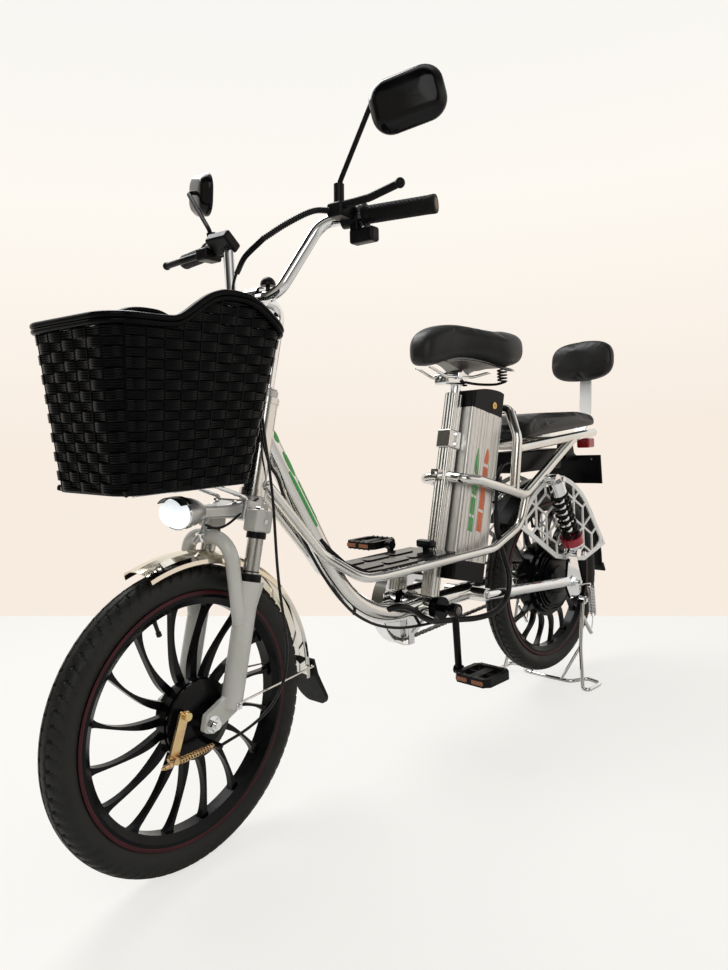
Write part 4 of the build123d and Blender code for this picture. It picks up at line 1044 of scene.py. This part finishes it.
def makeGrips():
    shape, plugs = newShape(), newShape()
    for side in (-1, 1):
        start, end = gripSpot(barPlan["gripFrom"]), gripSpot(barPlan["gripTo"])
        start.y, end.y = start.y * side, end.y * side
        way = (end - start).normalized()
        across = way.cross(Vector((0, 0, 1))).normalized()
        up = across.cross(way)
        long = (end - start).length
        stations = [(0, 15, 0), (0.2, 20.4, 0), (4.4, 20.6, 0), (5.2, 16.4, 0), (8, 15.9, 0), (10, 15.4, 0)]
        stations += [(12 + i * 1.25, barPlan["gripRadius"], 1) for i in range(int((long - 26) / 1.25))]
        stations += [(long - back, r, 0) for back, r in ((12, 15.6), (3, 15.9), (0.4, 15), (0, 10.4), (2.5, 10))]
        rows = []
        for along, radius, cut in stations:
            row = []
            for i in range(60):
                a = 2 * math.pi * i / 60
                depth = 0.0
                if cut:
                    u, v = along / 7.5, i / 60 * 14
                    groove = min(abs((u + v) % 1.0 - 0.5), abs((u - v) % 1.0 - 0.5)) < 0.16
                    depth = barPlan["cut"] if groove else 0.0
                row.append(start + way * along + (across * math.cos(a) + up * math.sin(a)) * (radius - depth))
            rows.append(row)
        addGrid(shape, rows, closeColumns=True)
        addTube(plugs, [end - way * 3, end - way * 0.6, end + way * 0.4], [10.2, 10.2, 8.6], 28)
    finishPiece(shape, "gripSleeves", "steering", "gripRubber", sharp=30, replaced=("grips",))
    finishPiece(plugs, "gripPlugs", "steering", "tanPlug")


def makeSleeves():
    shape = newShape()
    route = [(944, 168, 1114), (966, 146, 1112), (984, 104, 1096), (992, 56, 1078), (999, 16, 1052)]
    line = smoothLine(route[:4], 34)
    radii = [barPlan["sleeveRadius"] + (barPlan["sleeveRib"] if i % 3 < 1 else 0) for i in range(len(line))]
    addTube(shape, line, radii, 16)
    for away, drop in ((-3.2, 0), (3.2, 1.5), (0, -3.4)):
        cable = [Vector(p) + Vector((away, 0, drop)) for p in route[3:]] + [(1002 + away, -6, 1024)]
        addTube(shape, smoothLine(cable, 12), 2.5, 10)
    finishPiece(shape, "cableSleeve", "steering", "cableBlack", sharp=30)


# shell: (behind the glass, in from the edge) stations
mirrorPlan = dict(left=(908, 306, 1266), right=(836, -276, 1252), turn=24, tip=14,
                  shell=((-1.0, 3.4), (-1.6, 2.0), (-1.0, 0.4), (1.0, -0.8), (6.0, -1.0), (10.0, 1.2), (14.5, 4.8),
                         (19.0, 9.0), (21.5, 14), (23.2, 21), (24.2, 29), (24.6, 37)))


def makeMirrors():
    glass, shells = newShape(), newShape()
    turn, tip = math.radians(mirrorPlan["turn"]), math.radians(mirrorPlan["tip"])
    for side, centre in ((1, Vector(mirrorPlan["left"])), (-1, Vector(mirrorPlan["right"]))):
        along = Vector((-side * math.sin(turn), math.cos(turn), 0))
        ahead = Vector((math.cos(turn), side * math.sin(turn), 0))
        up = ahead.cross(along)
        right = along * math.cos(side * tip) + up * math.sin(side * tip)
        top = up * math.cos(side * tip) - along * math.sin(side * tip)
        outline = roundedPlate(112, 76, 27)
        addPrism(glass, outline, centre - ahead * 1.2, right, top, 1.4)
        rows = []
        for depth, inset in mirrorPlan["shell"]:
            corner = max(5.0, 32 - inset)
            rows.append([centre + ahead * depth + right * a + top * b
                         for a, b in roundedPlate(122 - 2 * inset, 86 - 2 * inset, corner)])
        addGrid(shells, rows, closeColumns=True)
        addCap(shells, rows[-1])
    finishPiece(glass, "mirrorGlasses", "steering", "mirrorGlass")
    finishPiece(shells, "mirrorShells", "steering", "glossBlack", sharp=60)


makeGrips()
makeSleeves()
makeMirrors()
print("stage: bars")


# Battery: plain strokes of colour on the left face, the lock and the hoop's knob
# strokes: finish, left and right edge, (low, high) of each bar, outline of the leaf above them
batteryPlan = dict(face=45.0, edges=(-58, 58, 20, -26), lock=(-20, 45, 440), strokes={
    "greenStrokes": ("greenStripe", 11.2, 28.6, [(118, 155), (159, 203), (207, 250)],
                     [(13, 256), (27, 262), (29, 290), (22, 324), (16, 300)]),
    "orangeStrokes": ("orangeStripe", -23.5, -5.6, [(121, 172), (176, 232), (236, 284)],
                      [(-22, 290), (-8, 292), (-7, 306), (-15, 330), (-22, 312)])})
batteryFoot = Vector((407, 0, 359.6))
leanTurn = math.radians(14.6)
batteryAlong = Vector((math.cos(leanTurn), 0, math.sin(leanTurn)))
batteryUp = Vector((-math.sin(leanTurn), 0, math.cos(leanTurn)))


def onBattery(along, left, up):
    return batteryFoot + batteryAlong * along + batteryUp * up + Vector((0, left, 0))


def makeBatteryTrim():
    corner = onBattery(0, batteryPlan["face"] + 0.35, 0)
    for name, (finish, low, high, spans, leaf) in batteryPlan["strokes"].items():
        shape = newShape()
        for a, b in spans:
            addPrism(shape, [(low, a), (high, a + 3), (high, b), (low, b - 3)], corner, batteryAlong, batteryUp, 0.6)
        curve = smoothLine([(u, v, 0) for u, v in leaf + leaf[:1]], 6)
        addPrism(shape, [(p.x, p.y) for p in curve[:-1]], corner, batteryAlong, batteryUp, 0.6)
        finishPiece(shape, name, "frame", finish)
    edges = newShape()
    for along in batteryPlan["edges"]:
        addTube(edges, [onBattery(along, 45.2, 52), onBattery(along, 45.2, 414)], 0.9, 8)
    finishPiece(edges, "batteryEdges", "frame", "chromePlate")
    lock = newShape()
    spot = onBattery(*batteryPlan["lock"])
    addTurned(lock, [(-1, 9), (2.2, 9), (3.0, 8), (3.0, 4), (2.2, 3.5), (2.2, 0.1)], spot, (0, 1, 0), 28)
    addBlock(lock, spot + Vector((0, 2.6, 0)), (1.6, 1.2, 7))
    finishPiece(lock, "batteryLock", "frame", "brass", sharp=25)


hoopPlan = dict(knob=(207, 34, 762), way=(-0.86, 0.35, -0.36), lobes=8)


def makeHoopKnob():
    knob, nut = newShape(), newShape()
    base, way = Vector(hoopPlan["knob"]), Vector(hoopPlan["way"]).normalized()
    addTube(knob, [base, base + way * 10], 5, 14)
    addTurned(knob, [(8, 0.1), (8, 9), (10, 12), (20, 12.4), (23, 10), (24, 0.1)], base, way, 24)
    for out in around(way, hoopPlan["lobes"]):
        spot = base + way * 15 + out * 12
        addTube(knob, [spot - way * 4, spot + way * 4], 2.2, 8)
    finishPiece(knob, "hoopKnob", "frame", "mouldedBlack")
    addHexBolt(nut, base + way, way, 8, 6)
    finishPiece(nut, "hoopNut", "frame", "brass", sharp=25)


# strokes: (distance down the tube, lower angle, upper angle) stations of each painted stroke
tubePlan = dict(start=(960, 0, 748), corner=(739, 0, 321), radius=21.0, strokes=[
    [(16, -34, -22), (22, -44, -6), (30, -46, -4), (38, -34, -14)],
    [(58, -24, -12), (70, -40, -6), (90, -46, -6), (104, -36, -12), (112, -28, -18)],
    [(97, -4, 8), (120, -10, 10), (160, -12, 8), (200, -14, 6), (226, -14, 2)],
    [(126, -40, -22), (160, -42, -22), (214, -42, -26)]])


def makeTubeStrokes():
    shape = newShape()
    a, b = Vector(tubePlan["start"]), Vector(tubePlan["corner"])
    way = (b - a).normalized()
    front = Vector((-way.z, 0, way.x))
    for stroke in tubePlan["strokes"]:
        rows = []
        for s, low, high in stroke:
            over, under = tubePlan["radius"] + 0.35, tubePlan["radius"] - 0.3
            section = arc((0, 0), over, low, high, 8) + arc((0, 0), under, high, low, 8)
            rows.append([a + way * s + Vector((0, p[0], 0)) + front * p[1] for p in section])
        addSkin(shape, rows)
    finishPiece(shape, "tubeStrokes", "frame", "greenStripe")


makeBatteryTrim()
makeHoopKnob()
makeTubeStrokes()
print("stage: battery and strokes")


# Frame hardware: bolts, the stand's springs, pedal reflectors and the saddle's springs
# sideBolts: place on the left side, radius, height; each has its twin on the right
hardwarePlan = dict(sideBolts=(((390, 26, 855), 9, 6), ((18, 92, 352), 6.5, 5), ((24, 92, 300), 6.5, 5),
                               ((0, 126, 372), 8, 5), ((98, 126, 584), 8, 5), ((-27, 112, 236), 7.5, 5),
                               ((356, 62, 318), 9, 5), ((205, 70.4, 470), 4, 3), ((-215, 70.4, 372), 4, 3),
                               ((30, 70.4, 580), 4, 3)),
                    standWire=1.7, standTurns=19, saddleWire=2.1, saddleTurns=4, studs=5)


def onSeatTube(along, left, up):
    return Vector((505, 0, 321)) + batteryAlong * along + batteryUp * up + Vector((0, left, 0))


def makeFrameBolts():
    bolts, caps = newShape(), newShape()
    for side in (-1, 1):
        out = (0, side, 0)
        for up in (382, 406):
            addHexBolt(bolts, onSeatTube(0, side * 21, up), out, 5.4, 4.5)
            addRing(bolts, onSeatTube(0, side * 21, up), out, 0.1, 7.5, 1.2, 20)
        for (x, y, z), radius, height in hardwarePlan["sideBolts"]:
            addHexBolt(bolts, (x, side * y, z), out, radius, height)
        addHexBolt(bolts, (-60, side * 40, 709), (0, 0, 1), 4, 2)
        addHexBolt(bolts, (-180, side * 60, 622), (1, 0, 0), 4.5, 4)
        addTurned(caps, [(0, 9.5), (1.6, 9.5), (2.6, 8), (2.6, 0.1)], (525, side * 103, 320), out, 24)
    addHexBolt(bolts, onSeatTube(38, 0, 304), batteryAlong, 6, 5)
    addHexBolt(bolts, (430, 0, 848), (1, 0, 0), 6, 7)
    addHexBolt(bolts, (525, -41, 240), (0, -1, 0), 3.6, 2)
    finishPiece(bolts, "frameBolts", "frame", "chromePlate", sharp=25)
    finishPiece(caps, "crankCaps", "crank", "oiledSteel")


def makeCoils():
    stand, seat = newShape(), newShape()
    for side in (-1, 1):
        out = side * 106
        coil = helixPoints((-79, out, 184), (-72, out, 266), 8.5, hardwarePlan["standTurns"], 14)
        addTube(stand, coil, hardwarePlan["standWire"], 8)
        for hook in ([(-64, out, 266), (-68, out, 274), (-56, side * 102, 276), (-42, side * 94, 274)],
                     [(-71, out, 184), (-76, out, 174), (-70, out, 152), (-64, out, 138)]):
            addTube(stand, smoothLine(hook, 5), 1.8, 8)
        coil = helixPoints((262, side * 62, 838), (262, side * 62, 868), 11, hardwarePlan["saddleTurns"], 18)
        addTube(seat, coil, hardwarePlan["saddleWire"], 8)
        rail = [(380, side * 20, 842), (330, side * 34, 834), (285, side * 56, 832), (262, side * 72, 838)]
        addTube(seat, smoothLine(rail, 6), 3.2, 10)
    finishPiece(stand, "standSprings", "stand", "chromePlate")
    finishPiece(seat, "saddleSprings", "frame", "blackPaint")


def makePedalTrim(side, body):
    plates, studs = newShape(), newShape()
    x, z = 525 - 5 * side, 320 - 136 * side
    for face in (-1, 1):
        for y in (-21, 21):
            spot = (x + face * 48.4, side * 159 + y, z)
            addPrism(plates, roundedPlate(30, 9, 2, 3), spot, (0, 1, 0), (0, 0, 1), -1.8 * face)
        for i in range(hardwarePlan["studs"]):
            for up in (-1, 1):
                spot = Vector((x + face * 41, side * 159 - 32 + i * 16, z + up * 9))
                addTube(studs, [spot, spot + Vector((0, 0, up * 2.2))], [2.6, 1.8], 8)
    finishPiece(plates, body.replace("_pedal", "PedalReflectors"), body, "amberReflector")
    finishPiece(studs, body.replace("_pedal", "PedalStuds"), body, "oiledSteel")


makeFrameBolts()
makeCoils()
makePedalTrim(1, "left_pedal")
makePedalTrim(-1, "right_pedal")
print("stage: hardware")
